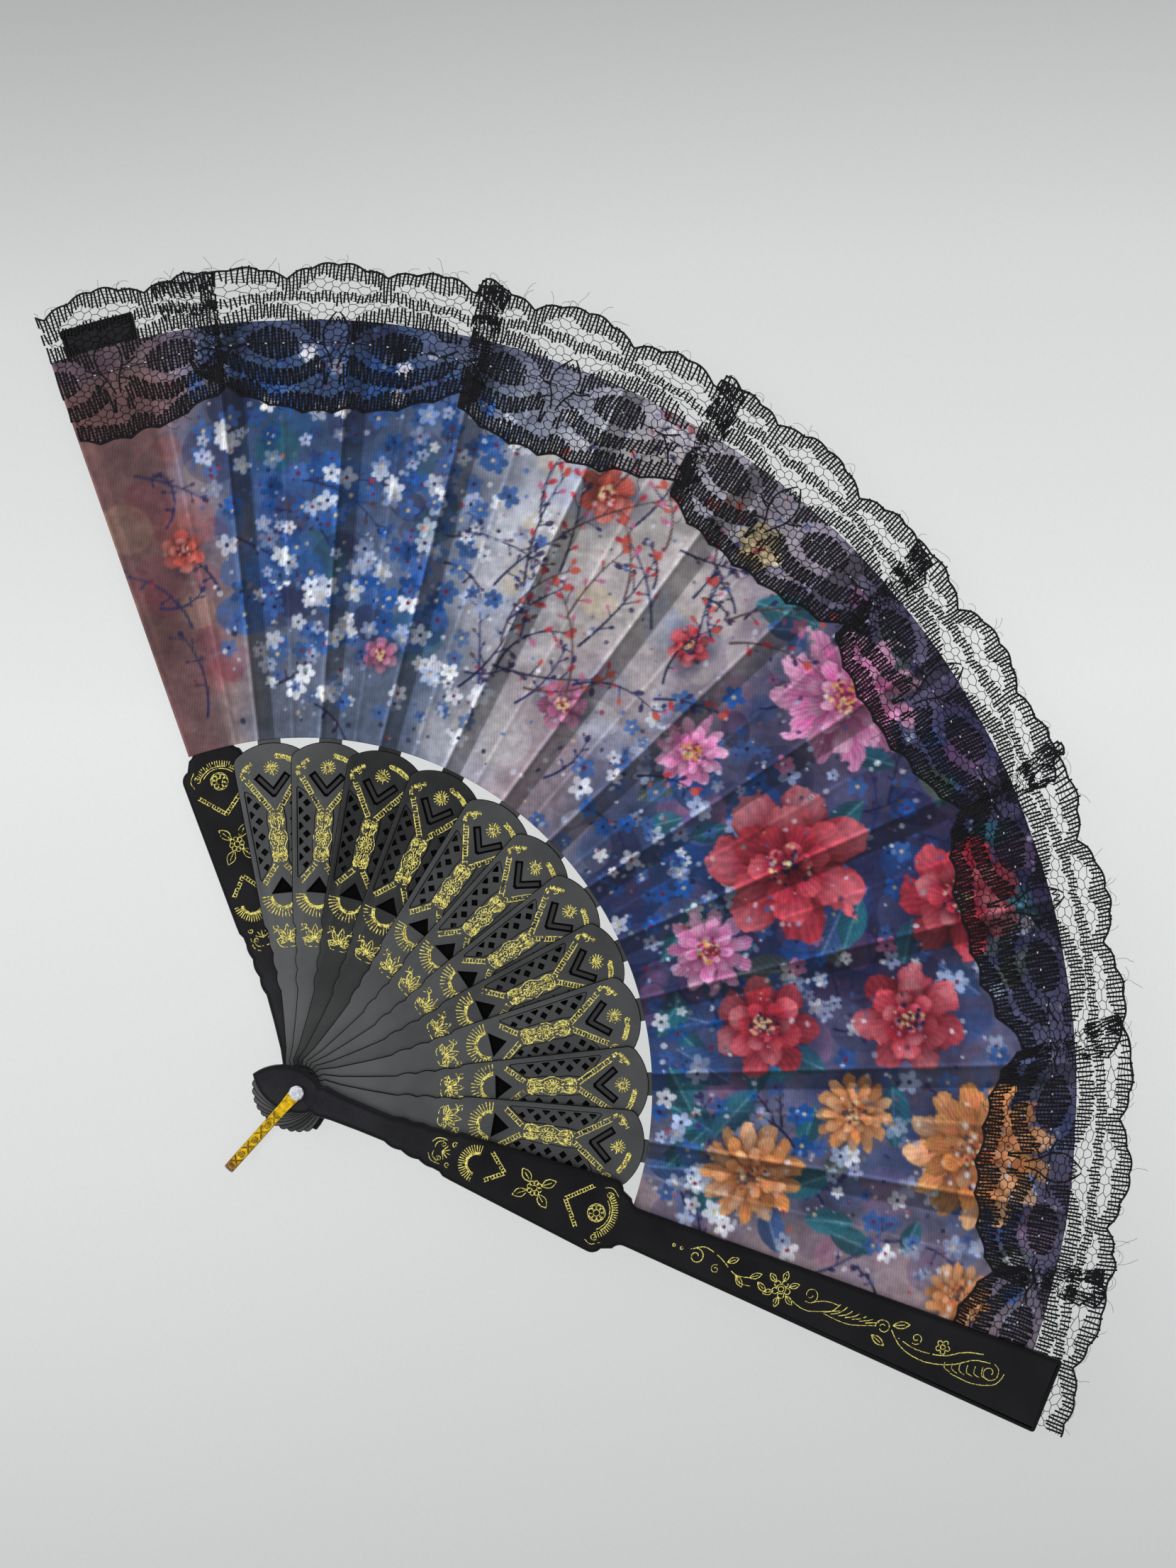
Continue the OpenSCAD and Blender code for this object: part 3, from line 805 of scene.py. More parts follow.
def net_lines():
    """Hexagonal net, drawn out a little at random, wherever the lace is not filled."""
    wide, tall = 2.9, 2.1
    i, j = np.meshgrid(np.arange(-20, 21), np.arange(-1, 22))
    cu, cv = 0.75 * wide * i, tall * (j + 0.5 * (i % 2))
    corners = [(wide / 4, tall / 2), (wide / 2, 0), (wide / 4, -tall / 2), (-wide / 4, -tall / 2)]
    edges = np.concatenate([np.stack([cu + a[0], cv + a[1], cu + b[0], cv + b[1]], -1).reshape(-1, 4)
                            for a, b in zip(corners[:-1], corners[1:])])
    for k in (0, 2):
        x, y = edges[:, k].copy(), edges[:, k + 1].copy()
        edges[:, k] += 1.3 * (value_noise(x + 90, y, 2.3, 61) - 0.5)
        edges[:, k + 1] += 1.1 * (value_noise(x + 90, y, 2.1, 62) - 0.5)
    u, v = (edges[:, 0] + edges[:, 2]) / 2, (edges[:, 1] + edges[:, 3]) / 2
    return edges[(lace_kind(u, v) == 1) & (np.abs(u) < PITCH)].reshape(-1, 2, 2)


def tie_lines():
    """Thin threads across the filled shapes, which hold their close threads together."""
    u = np.arange(-PITCH, PITCH, 0.5)
    lines = []
    for k, v in enumerate(np.arange(0.5, 42, 0.95)):
        level = v + 0.25 * np.sin(u * 1.7 + k)
        lines += [np.stack([u[a:b:2], level[a:b:2]], 1) for a, b in filled_runs(u, level, 2)]
    return lines


def cord_lines():
    """Edge cords, and the cords of the tulip in the middle of each motif."""
    u = np.linspace(-PITCH, PITCH, 161)
    edges = [np.stack([u, lower_edge(u)], 1), np.stack([u, upper_edge(u)], 1)]
    crown = curve((-2.2, 25.2), (-1.5, 27.0), (-0.8, 25.4), (0, 27.4), (0.8, 25.4), (1.5, 27.0), (2.2, 25.2),
                  n=20)
    half = [curve((0.7, 12.5), (1.7, 16.2), (3.3, 19.2), (3.7, 23.0), (2.2, 26.4), (0.4, 28.6), n=16),
            curve((3.3, 19.2), (5.0, 19.6), (7.2, 21.0), n=7),
            curve((1.7, 16.2), (3.9, 15.6), (6.0, 13.6), n=7),
            curve((25.2, 19.8), (28.6, 19.6), (32.0, 21.6), n=8),
            curve((28.6, 19.6), (31, 16.4), (32.6, 12.4), n=8)]
    return edges, [crown] + [line * (side, 1) for side in (-1, 1) for line in half]


def to_fan(points, length, index):
    """Radius and angle on the fan of a point of the lace's own pattern."""
    middle, left, right = length
    u, v = points[..., 0], points[..., 1]
    out = v - LACE_HALF
    side = np.clip(np.abs(u) / PITCH, 0, 1)
    even = math.degrees(1 / LACE_MIDDLE)
    q = np.clip((side - FLAT_SHARE) / (1 - FLAT_SHARE), 0, 1)
    spare = even * (1 - FLAT_SHARE) * PITCH
    rest = np.maximum(np.where(u < 0, left - middle, middle - right) - even * FLAT_SHARE * PITCH, 0.5)
    # What does not fit is folded back on itself and forward again, three layers deep
    path = q * np.maximum(spare, rest)
    back = np.maximum(spare - rest, 0) / 2
    fold = np.where(path < rest, path, np.where(path < rest + back, 2 * rest - path, path - 2 * back))
    lean = 0.05 * (value_noise(0 * u + 5 * index, 0 * u, 1.0, 90) - 0.5) * out
    fold = fold * (1 + np.where(u < 0, 0.022, 0) * out)
    turn = even * np.minimum(side, FLAT_SHARE) * PITCH + fold + lean * q
    wave = value_noise(u / 7 + 13 * index, v / 9, 1.0, 70 + index) - 0.5
    corner = np.where(u < 0, BOLD_CORNER if index in BOLD else LEFT_CORNER, RIGHT_CORNER)
    corner = corner * smooth((side - 0.82) / 0.18) * smooth((v - 24) / 12)
    r = LACE_MIDDLE + out * (1 - 0.16 * q ** 3) + 1.6 * wave + corner
    return r, middle - np.sign(u) * turn + 0.35 * wave


def along_rim(points):
    """Radius and angle of a point given as angle and radius."""
    return points[:, 1], points[:, 0]


class Threads:
    """Lines of thread on the fan, sorted by the stick that carries them."""

    def __init__(self):
        self.runs = [[] for _ in range(LAST + 1)]

    def lay(self, lines, place_on_fan, width, height, lift, kind=0):
        """Lays lines on the satin, cut where the lace ends and where another stick takes over."""
        r, angle = place_on_fan(np.concatenate(lines))
        keep = (angle < LACE_LEFT) & (angle > LACE_RIGHT)
        interval, share, z = on_cloth(r, angle)
        levels = np.array(CLOTH_Z + CLOTH_Z[-1:])
        satin = levels[interval] + LEAF_T + share * np.diff(levels)[interval]
        z = np.minimum(z + lift, satin + LACE_ROOM - height / 2)
        points = np.stack([*polar(r, angle), z], -1)
        first = 0
        for line in lines:
            ids = np.arange(first, first + len(line))[keep[first:first + len(line)]]
            first += len(line)
            start = 0
            for k in range(1, len(ids)):
                i = interval[ids[start]]
                if k == len(ids) - 1 or interval[ids[k]] != i:
                    part = ids[start:k + 1]
                    own = np.where(interval[part] > i, 1.0, np.where(interval[part] < i, 0.0, share[part]))
                    self.runs[i].append((points[part], own, width, height, kind))
                    start = k


def finer(points, step):
    """The same line with a point every `step` millimetres or less."""
    points = np.asarray(points, float)
    gaps = np.hypot(*np.diff(points, axis=0).T)
    at = np.r_[0, np.cumsum(gaps)]
    stations = np.unique(np.r_[at, np.linspace(0, at[-1], int(at[-1] / step) + 2)])
    return np.stack([np.interp(stations, at, points[:, 0]), np.interp(stations, at, points[:, 1])], 1)


def loose_ends(rng):
    """Curled ends of cut threads along both edges."""
    lines = []
    for _ in range(30):
        u = rng.uniform(-PITCH, PITCH)
        outward = rng.random() < 0.75
        v = upper_edge(u) if outward else lower_edge(u)
        heading = rng.uniform(0.9, 2.2) * (1 if outward else -1)
        line, curl = [(u, v)], rng.uniform(-0.6, 0.6)
        for _ in range(rng.integers(4, 10)):
            heading += curl + rng.uniform(-0.3, 0.3)
            u, v = u + 0.62 * math.cos(heading), v + 0.62 * math.sin(heading)
            line.append((u, v))
        lines.append(np.array(line))
    return lines


def seam(angle):
    """Radius of the seam that holds the lace on the satin."""
    return SEAM_R + 1.4 * (value_noise(angle, 0 * angle, 9.0, 81) - 0.5)


def lace_threads():
    rng = np.random.default_rng(9)
    threads = Threads()
    edges, buds = cord_lines()
    # Lines, longest step along them, width, height, lift above the satin
    kinds = [(hatch_lines(rng), 2.2, 0.54, 0.11, 0.13), (net_lines(), 9, 0.18, 0.08, 0.09),
             (tie_lines(), 2, 0.20, 0.08, 0.19), (edges, 1.2, 0.56, 0.18, 0.15),
             (buds, 1.4, 0.42, 0.16, 0.15)]
    kinds = [([finer(line, step) for line in lines], *look) for lines, step, *look in kinds]
    for index, length in enumerate(LENGTHS):
        layer = 0.09 * (index % 2)
        for lines, width, height, lift in kinds + [(loose_ends(rng), 0.09, 0.06, 0.24)]:
            threads.lay(lines, lambda p: to_fan(p, length, index), width, height, lift + layer)
    line = np.arange(24.5, 157.2, 0.25)
    threads.lay([np.stack([line, seam(line)], 1)], along_rim, 0.22, 0.10, 0.24)
    stitches = [np.stack([(a, a + 0.16), seam(np.array([a, a])) + (0, 0.1)], 1)
                for a in np.arange(25, 157, 1.35)]
    threads.lay(stitches, along_rim, 0.42, 0.14, 0.27, 1)
    return threads.runs


def make_lace():
    black, stitch = lace_material(), stitch_material()
    for i, runs in enumerate(lace_threads()):
        lines, shares, width, height, kind = zip(*runs)
        width = np.array(width)
        points, faces = tubes(lines, width, height)
        piece = new_piece(f"lace_threads_{i + 1:02d}", points, faces, black)
        piece.data.materials.append(stitch)
        per_line = [4 * (len(line) - 1) + 2 for line in lines]
        piece.data.polygons.foreach_set("material_index", np.repeat(kind, per_line).astype(np.int32))
        bend(piece, i)
        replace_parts(piece, f"lace_{i + 1:02d}")


def lace_material():
    n = Nodes("black_lace_thread")
    tone = n.ramp(n.noise(2500, 2), (0.3, (0.002, 0.002, 0.003)), (0.75, (0.011, 0.011, 0.014)))
    return n.finish(Base_Color=tone, Roughness=0.62, Normal=n.bump(n.noise(9000, 2), 0.4, 0.00005),
                    Specular_IOR_Level=0.2)


def stitch_material():
    n = Nodes("stitch_thread")
    tone = n.ramp(n.noise(3000, 2), (0.3, (0.35, 0.36, 0.4)), (0.7, (0.75, 0.76, 0.8)))
    return n.finish(Base_Color=tone, Roughness=0.4)


# ------------------------------------------------------------------ sticks

HEAD_REACH, SLIP_T, WINDOW_DEPTH = 94.4, 0.35, 0.25
# Lightness, roughness and specular level of the ribs; ribs 3 and 4 are set darker and glossier, and ribs 1
# and 8 a little apart
RIB_LOOK = (1.0, 0.34, 0.62)
RIB_LOOKS = {3: (0.45, 0.20, 0.60), 4: (0.50, 0.20, 0.60), 1: (1.12, 0.36, 0.66), 8: (0.85, 0.32, 0.58)}


def face_loops(node, level):
    """Closed loops of x, y round the faces of a CAD node that look up at a level, the longest first."""
    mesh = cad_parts[node].data
    spots, ids = {}, []
    for v in mesh.vertices:
        key = tuple(round(c / MM, 3) for c in v.co)
        ids.append(spots.setdefault(key, len(spots)))
    where = np.array(list(spots))
    after = {}
    for polygon in mesh.polygons:
        if polygon.normal.z < 0.9 or abs(where[ids[polygon.vertices[0]], 2] - level) > 0.02:
            continue
        corners = [ids[v] for v in polygon.vertices]
        for a, b in zip(corners, corners[1:] + corners[:1]):
            if after.get(b, set()) and a in after[b]:
                after[b].discard(a)
            else:
                after.setdefault(a, set()).add(b)
    loops = []
    while any(after.values()):
        start = next(a for a in after if after[a])
        loop, a = [], start
        while after.get(a):
            loop.append(a)
            a = after[a].pop()
            if a == start:
                break
        loops.append(where[loop, :2])
    return sorted(loops, key=lambda loop: -np.hypot(*(loop - np.roll(loop, 1, 0)).T).sum())


def inset(loop, depth):
    """A counter-clockwise loop moved inwards."""
    ahead, behind = np.roll(loop, -1, 0) - loop, loop - np.roll(loop, 1, 0)
    normals = [np.stack([-d[:, 1], d[:, 0]], 1) / np.hypot(*d.T)[:, None] for d in (ahead, behind)]
    middle = normals[0] + normals[1]
    middle /= np.hypot(*middle.T)[:, None]
    share = np.clip((middle * normals[0]).sum(1), 0.6, 1)
    return loop + middle * (depth / share)[:, None]


def moulded(loop, end):
    """The same loop with its corners at the tail, up to x = end, cut twice, as a mould leaves them."""
    for reach in (0.7, 0.3):
        points = []
        for k, p in enumerate(loop):
            if p[0] > end:
                points.append(p)
                continue
            for q in (loop[k - 1], loop[(k + 1) % len(loop)]):
                points.append(p + (q - p) * min(0.3, reach / np.hypot(*(q - p))))
        loop = np.array(points)
    return loop


def rounded_rim(radius, top, spread=1.0):
    """Steps in and up round an upper edge."""
    return [(spread * radius * (1 - math.cos(a)), top - radius * (1 - math.sin(a)))
            for a in np.radians((0, 20, 40, 57, 73, 90))]


class Shell:
    """Closed skin of a flat moulded part: rings of points, walls between them and flat caps.

    An outline runs counter-clockwise and a hole clockwise, and each face has a depth from 0 on the
    outside to 1 in the dark, which its material paints in as shade."""

    def __init__(self):
        self.points, self.faces, self.depth = [], [], []

    def ring(self, loop, z):
        first = len(self.points)
        self.points += [(x, y, z) for x, y in loop]
        return list(range(first, len(self.points)))

    def wall(self, lower, upper, depth=0.0):
        for a in range(len(lower)):
            b = (a + 1) % len(lower)
            self.faces.append((lower[a], lower[b], upper[b], upper[a]))
            self.depth.append(depth)

    def rise(self, loop, steps, depths=None):
        """Rings along a loop, each step a distance in from it and a level, joined by walls."""
        rings = [self.ring(inset(loop, d) if d else loop, z) for d, z in steps]
        for k in range(len(rings) - 1):
            self.wall(rings[k], rings[k + 1], depths[k] if depths else 0.0)
        return rings[0], rings[-1]

    def cap(self, loops, up, depth=0.0):
        flat = [i for loop in loops for i in loop]
        spots = [[Vector((*self.points[i][:2], 0)) for i in loop] for loop in loops]
        for tri in tessellate_polygon(spots):
            a, b, c = (flat[i] for i in tri)
            p, q, r = (np.array(self.points[i][:2]) for i in (a, b, c))
            counter = (q - p)[0] * (r - p)[1] - (q - p)[1] * (r - p)[0] > 0
            self.faces.append((a, b, c) if counter == up else (a, c, b))
            self.depth.append(depth)


def slab(name, outer, holes, bottom, top, radius, material, spread=1.0, shade=0.0):
    """Flat part with its upper edge rounded off. Each hole is a clockwise loop and the level of its floor.

    shade is the depth of the dull band inside the rounded edge that is painted dark: painted shade where the
    rounded edge reflects the dim surroundings."""
    shell = Shell()
    foot, brow = shell.rise(outer, [(0.1, bottom), (0, bottom + 0.1)] + rounded_rim(radius, top, spread),
                            (0, 0, 0, 0, shade, shade, shade / 2))
    upper, lower = [brow], [foot]
    for hole, floor in holes:
        base, rim = shell.rise(hole, [(0, floor), (0, top)])
        upper.append(rim)
        if floor == bottom:
            lower.append(base)
        else:
            shell.cap([base], True)
    shell.cap(upper, True)
    shell.cap(lower, False)
    piece = new_piece(name, shell.points, shell.faces, material, sharp=50)
    add_values(piece, "depth", "FACE", shell.depth)
    return piece


def at_rivet(loop):
    return np.hypot(*loop.mean(0)) < 1


MARK_DEPTH, GUARD_ROUNDING = 0.12, 0.85


def guard_body(name, node, material):
    """A guard from the flat loops of its CAD node: its outline, rivet hole and mould mark."""
    bottom, top = low(node)[2], high(node)[2]
    outer, *holes = face_loops(node, top)
    holes = [(hole, bottom if at_rivet(hole) else top - MARK_DEPTH) for hole in holes]
    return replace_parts(slab(name, outer, holes, bottom, top, GUARD_ROUNDING, material,
                            spread=1.6, shade=0.75), node)


def area_of(loop):
    x, y = loop[:, 0], loop[:, 1]
    return 0.5 * float((x * np.roll(y, -1) - y * np.roll(x, -1)).sum())


def window_loop(side):
    """Edge of a rib's sunk lattice window: straight outside, with a waved inner side."""
    outer = (57.0, 5.6), (57.4, 5.9), (81.0, 8.0), (81.45, 7.85), (81.4, 7.5)
    inner = curve((79.4, 4.2), (78.5, 3.0), (77.0, 2.35), (75.2, 2.5), (72.8, 2.72), (70.0, 2.55),
                  (67.2, 2.72), (64.6, 2.6), (63.0, 2.3), (61.3, 2.6), (59.8, 3.6), n=44)
    loop = np.concatenate([outer, inner]) * (1, side)
    return loop[::-1] if area_of(loop) > 0 else loop


# Faces from this depth on get a near-black, dull material: painted shade in the openings and along the rib's
# edge
PAINTED_SHADE_FROM = 0.8
# Distance in from the edge, and level above the underside, of the walls of the triangle and the arrowhead
SLOT_STEPS = [(-0.42, 0.2), (-0.3, 0.42), (0, 0.5)]
# Distance in from the edge, and level below the top, of the rim round every opening
OPENING_RIM = [(0, 0.09), (0.07, 0.03), (0.2, 0)]
WINDOW_SHADE, SKIN = 0.12, 0.3
# Openings from this area on, in square millimetres, are the lattice windows
WINDOW_AREA = 30
# Length of the slip under the rib's head, and radius of its rounded end
SLIP_HIDDEN, SLIP_END = 4, 2
# Part of a rib that the rib on top of it can cover
COVERED_FROM, COVERED_TO = 47, 89


def rib_below(reach, gap):
    """How far to the left the rib below, gap degrees away, still lies under a rib."""
    return math.radians(gap) * reach - (6.6 + (reach - COVERED_FROM) * 0.09)


def rib_shell(node, gap):
    """A rib along +X, from the flat loops of its CAD node, with rounded edges and sunk windows.

    gap is the angle to the rib below it: a hole of the lattice is left open where that rib lies under it."""
    bottom, top = low(node)[2], high(node)[2]
    angle = ANGLE[STICKS.index(node)]
    shell = Shell()

    def along(loops):
        return [turned(np.c_[loop, np.zeros(len(loop))], -angle)[:, :2] for loop in loops]

    floor = top - WINDOW_DEPTH
    outer, *holes = along(face_loops(node, top))
    lattice = [loop for loop in along(face_loops(node, floor)) if area_of(loop) < 0]
    rim = [(d, top - drop) for d, drop in OPENING_RIM]
    outer = moulded(outer, -6)
    # The outer wall and most of the rounded edge are painted near black: painted shade along the rib's edge
    foot, brow = shell.rise(outer, [(0, bottom)] + rounded_rim(0.2, top, 1.5),
                            (0.4, 0.95, 0.9, 0.85, 0.8, 0.2))
    upper, lower = [brow], [foot]
    for hole in (loop for loop in holes if abs(area_of(loop)) < WINDOW_AREA):
        if at_rivet(hole):
            base, edge = shell.rise(hole, [(0, bottom)] + rim)
            lower.append(base)
        else:
            # A slot's walls are painted near black: painted shade down in the slot
            base, edge = shell.rise(hole, [(d, bottom + z) for d, z in SLOT_STEPS] + rim,
                                    (0.95, 0.85, 1, 0.9, 0.8))
            # Only the slot nearer the rivet has the near-black painted-shade material on its floor; the
            # other's floor keeps the rib's material, painted almost as dark
            shell.cap([base], True, 0.9 if hole[:, 0].mean() < 70 else 0.79)
        upper.append(edge)
    for side in (1, -1):
        # A window's walls are painted dark: painted shade
        base, edge = shell.rise(window_loop(side), [(0, floor)] + rim, (1, 0.9, 0.8))
        upper.append(edge)
        floor_loops = [base]
        for hole in (loop for loop in lattice if loop[:, 1].mean() * side > 0):
            through = hole[:, 1].min() > rib_below(hole[:, 0].mean(), gap) + 0.3
            under, over = shell.rise(hole, [(0, bottom if through else bottom + SKIN), (0, floor)], (1,))
            floor_loops.append(over)
            # A hole with no rib under it is closed by a floor and a roof painted near black: painted shade in
            # the hole
            if not through:
                shell.cap([under], True, 1.0)
                under, roof = shell.rise(hole, [(0, bottom), (0, bottom + 0.2)], (1,))
                shell.cap([roof], False, 1.0)
            lower.append(under)
        shell.cap(floor_loops, True, WINDOW_SHADE)
    shell.cap(upper, True)
    shell.cap(lower, False)
    reach = max(np.hypot(*node_points(node)[:, :2].T))
    u = np.array([HEAD_REACH - SLIP_HIDDEN, reach - SLIP_END])
    half = slip_half(u) - CREASE_MARGIN
    tip = arc_line(reach - SLIP_END, 0, SLIP_END, -60, 60, 5)
    slip = np.concatenate([np.c_[u, -half], tip, np.c_[u, half][::-1]])
    foot, brow = shell.rise(slip, [(0, bottom + 0.002), (0, bottom + SLIP_T - 0.08), (0.08, bottom + SLIP_T)])
    shell.cap([brow], True)
    shell.cap([foot], False)
    return shell


def rib_body(name, i, material, dark):
    shell = rib_shell(STICKS[i], ANGLE[i - 1] - ANGLE[i])
    piece = new_piece(name, turned(shell.points, ANGLE[i]), shell.faces, material, sharp=38)
    add_values(piece, "depth", "FACE", shell.depth)
    piece.data.materials.append(dark)
    in_painted_shade = np.array(shell.depth) >= PAINTED_SHADE_FROM
    piece.data.polygons.foreach_set("material_index", in_painted_shade.astype(np.int32))
    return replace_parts(piece, STICKS[i])


NEAR_BLACK = (0.0015, 0.0015, 0.002)


def plastic(name, dark, light, rough, level, hidden_by=None, rivet_lightening=1.0):
    """Moulded plastic: faint flow marks, handling scratches and dust in its gloss.

    Near the rivet its colour is painted lighter by the given factor: painted light on the tails. Where the
    next stick always covers it, at the angle hidden_by, it is painted dull and dark: painted shade under
    that stick, seen through the openings."""
    n = Nodes(name)
    cloudy = n.noise(60, 4, 0.6, n.mapped("POINT", Scale=(1.0, 1.0, 0.2)))
    specks = n.noise(5200, 2, 0.5)
    scratches = n.noise(260, 2, 0.5, n.mapped("POINT", Scale=(1, 8, 1), Rotation=(0, 0, 0.7)))
    dust = n.ramp(specks, (0.70, (0.0,) * 3), (0.80, (0.05,) * 3))
    colour = n.mix(1.0, n.ramp(cloudy, (0.3, dark), (0.75, light)), dust, "ADD")
    shine = n.range(cloudy, rough - 0.06, rough + 0.08, 0.3, 0.7)
    reach = n.add("VectorMath", operation="LENGTH")
    n.put(reach.inputs[0], n.spot())
    colour = n.scaled(colour, n.range(reach.outputs["Value"], rivet_lightening, 1.0, 22 * MM, 60 * MM))
    # Painted shade: faces with a depth, in the openings, on the walls and inside rounded edges, are painted
    # towards near black and dulled
    depth = n.value("depth")
    colour = n.mix(depth, colour, NEAR_BLACK)
    shine = n.maths("MAXIMUM", shine, n.range(depth, 0.0, 0.9, 0.3, 0.9))
    if hidden_by is not None:
        # Painted shade under the next stick, seen through the openings
        local = n.axes(n.mapped("TEXTURE", Rotation=(0, 0, math.radians(hidden_by))))
        half = n.range(local["X"], 6.0 * MM, 9.8 * MM, COVERED_FROM * MM, COVERED_TO * MM)
        along = n.maths("MULTIPLY", n.maths("GREATER_THAN", local["X"], 50 * MM),
                        n.maths("LESS_THAN", local["X"], COVERED_TO * MM))
        under = n.maths("MULTIPLY", n.maths("LESS_THAN", n.maths("ABSOLUTE", local["Y"]), half), along)
        colour = n.mix(under, colour, NEAR_BLACK)
        shine = n.maths("MAXIMUM", shine, under)
    relief = n.bump(scratches, 0.12, 0.0001, Normal=n.bump(specks, 0.08, 0.00004))
    return n.finish(Base_Color=colour, Roughness=shine, Normal=relief, Specular_IOR_Level=level)


RIB_DARK, RIB_LIGHT = np.array([(0.039, 0.040, 0.041), (0.053, 0.054, 0.055)])


def make_sticks():
    guard = plastic("guard_black", (0.0035, 0.0035, 0.0045), (0.008, 0.008, 0.0095), 0.42, 0.16, rivet_lightening=3.0)
    for i in (0, LAST):
        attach(guard_body(("rear", "front")[i > 0] + "_guard_body", STICKS[i], guard), BODIES[i])
    # Near-black, dull material for the painted shade in the ribs' openings and along their edges
    dark = plastic("rib_painted_shade", (0.0016, 0.0016, 0.002), (0.003, 0.003, 0.0036), 0.7, 0.06)
    for i in range(1, LAST):
        tone, rough, level = RIB_LOOKS.get(i, RIB_LOOK)
        rib = plastic(f"rib_smoke_{i:02d}", RIB_DARK * tone, RIB_LIGHT * tone, rough, level,
                      ANGLE[i + 1] if i < LAST - 1 else None, 1.5)
        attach(rib_body(f"rib_{i:02d}_body", i, rib, dark), BODIES[i])


# ------------------------------------------------------------------ gold foil stamped on the sticks

def arc_line(u, v, radius, start, end, n=12):
    x, y = polar(radius, np.linspace(start, end, n))
    return np.stack([u + x, v + y], 1)


def circle(u, v, radius, n):
    return arc_line(u, v, radius, 0, 360, n)


def spiral(u, v, radius, start, turns, shrink=0.25, n=22):
    t = np.linspace(0, 1, n)
    a = np.radians(start) + 2 * np.pi * turns * t
    r = radius * (1 - (1 - shrink) * t)
    return np.stack([u + r * np.cos(a), v + r * np.sin(a)], 1)


def curve(*points, n=14):
    """Smooth line through a few points."""
    p = np.array(points, float)
    t = np.linspace(0, len(p) - 1, n)
    k = np.minimum(t.astype(int), len(p) - 2)
    f = (t - k)[:, None]
    before, a, b, after = p[np.maximum(k - 1, 0)], p[k], p[k + 1], p[np.minimum(k + 2, len(p) - 1)]
    return 0.5 * (2 * a + (b - before) * f + (2 * before - 5 * a + 4 * b - after) * f ** 2
                  + (3 * a - before - 3 * b + after) * f ** 3)


def both(lines):
    """The lines and their mirror images in the stick's axis."""
    return lines + [line * (1, -1) for line in lines]


def ladder(a, b, gauge, rungs):
    """Two rails with rungs between them."""
    a, b = np.array(a, float), np.array(b, float)
    d = (b - a) / np.hypot(*(b - a))
    side = np.array([-d[1], d[0]]) * gauge / 2
    lines = [np.linspace(a + side, b + side, 6), np.linspace(a - side, b - side, 6)]
    for t in np.linspace(0.06, 0.94, rungs):
        c = a + (b - a) * t
        lines.append(np.array([c + side, c - side]))
    return lines


def leaf_loop(u, v, turn, length, width):
    """Outline of a small pointed leaf with its vein, growing from u, v."""
    t = np.linspace(0, 1, 8)
    k, s = polar(1, turn)
    lines = []
    for side in (-1, 0, 1):
        x, y = t * length * (1 if side else 0.7), side * width / 2 * np.sin(np.pi * t)
        lines.append(np.stack([u + x * k - y * s, v + x * s + y * k], 1))
    return lines


def leaves_round(u, v, reach, angles, length, width):
    """Leaves that grow outwards from a ring."""
    lines = []
    for a in angles:
        x, y = polar(reach, a)
        lines += leaf_loop(u + x, v + y, a, length, width)
    return lines


def rosette(u, v, radius, petals, core=0.34):
    lines = [circle(u, v, radius * core, 10)]
    for k in range(petals):
        a = 360 / petals * k
        x, y = polar(radius * 0.68, a)
        lines.append(arc_line(u + x, v + y, radius * 0.34, a - 130, a + 130, 7))
    return lines


def rays(u, v, inner, outer, start, end, count):
    spots = [[polar(r, a) for r in (inner, outer)] for a in np.linspace(start, end, count)]
    return list(np.array(spots) + (u, v))


def half_sun(u, v, radius, count):
    return ([arc_line(u, v, radius * k, 91, 269, 18) for k in (0.84, 0.9, 0.96, 1.02)]
            + rays(u, v, radius * 1.02, radius * 1.62, 93, 267, count)
            + rays(u, v, radius * 1.3, radius * 1.66, 93, 267, count))


def daisy(u, v, core, reach, petals, stretch=1.0):
    """Ring with narrow looped petals, drawn out along u."""
    lines = [circle(u, v, core * k, 9) for k in (0.45, 1.0)]
    for k in range(petals):
        a = 360 * (k + 0.5) / petals
        x, y = polar(core * 1.15, a)
        lines += leaf_loop(u + x, v + y, a, reach - core * 1.15, 0.62)[::2]
    return [(line - (u, v)) * (stretch, 1) + (u, v) for line in lines]


def sprig(u, size):
    """Palm-like tuft with a curl on each side."""
    tuft = [np.array([(u, 0), (u + x, y)]) for x, y in (polar(size, a) for a in (-62, -32, 0, 32, 62))]
    curl = curve((u - size, 0.2 * size), (u - 0.9 * size, 0.9 * size), (u - 0.2 * size, 1.3 * size))
    return tuft + both([spiral(u - 0.1 * size, 0.95 * size, 0.34 * size, 200, 1.1), curl])


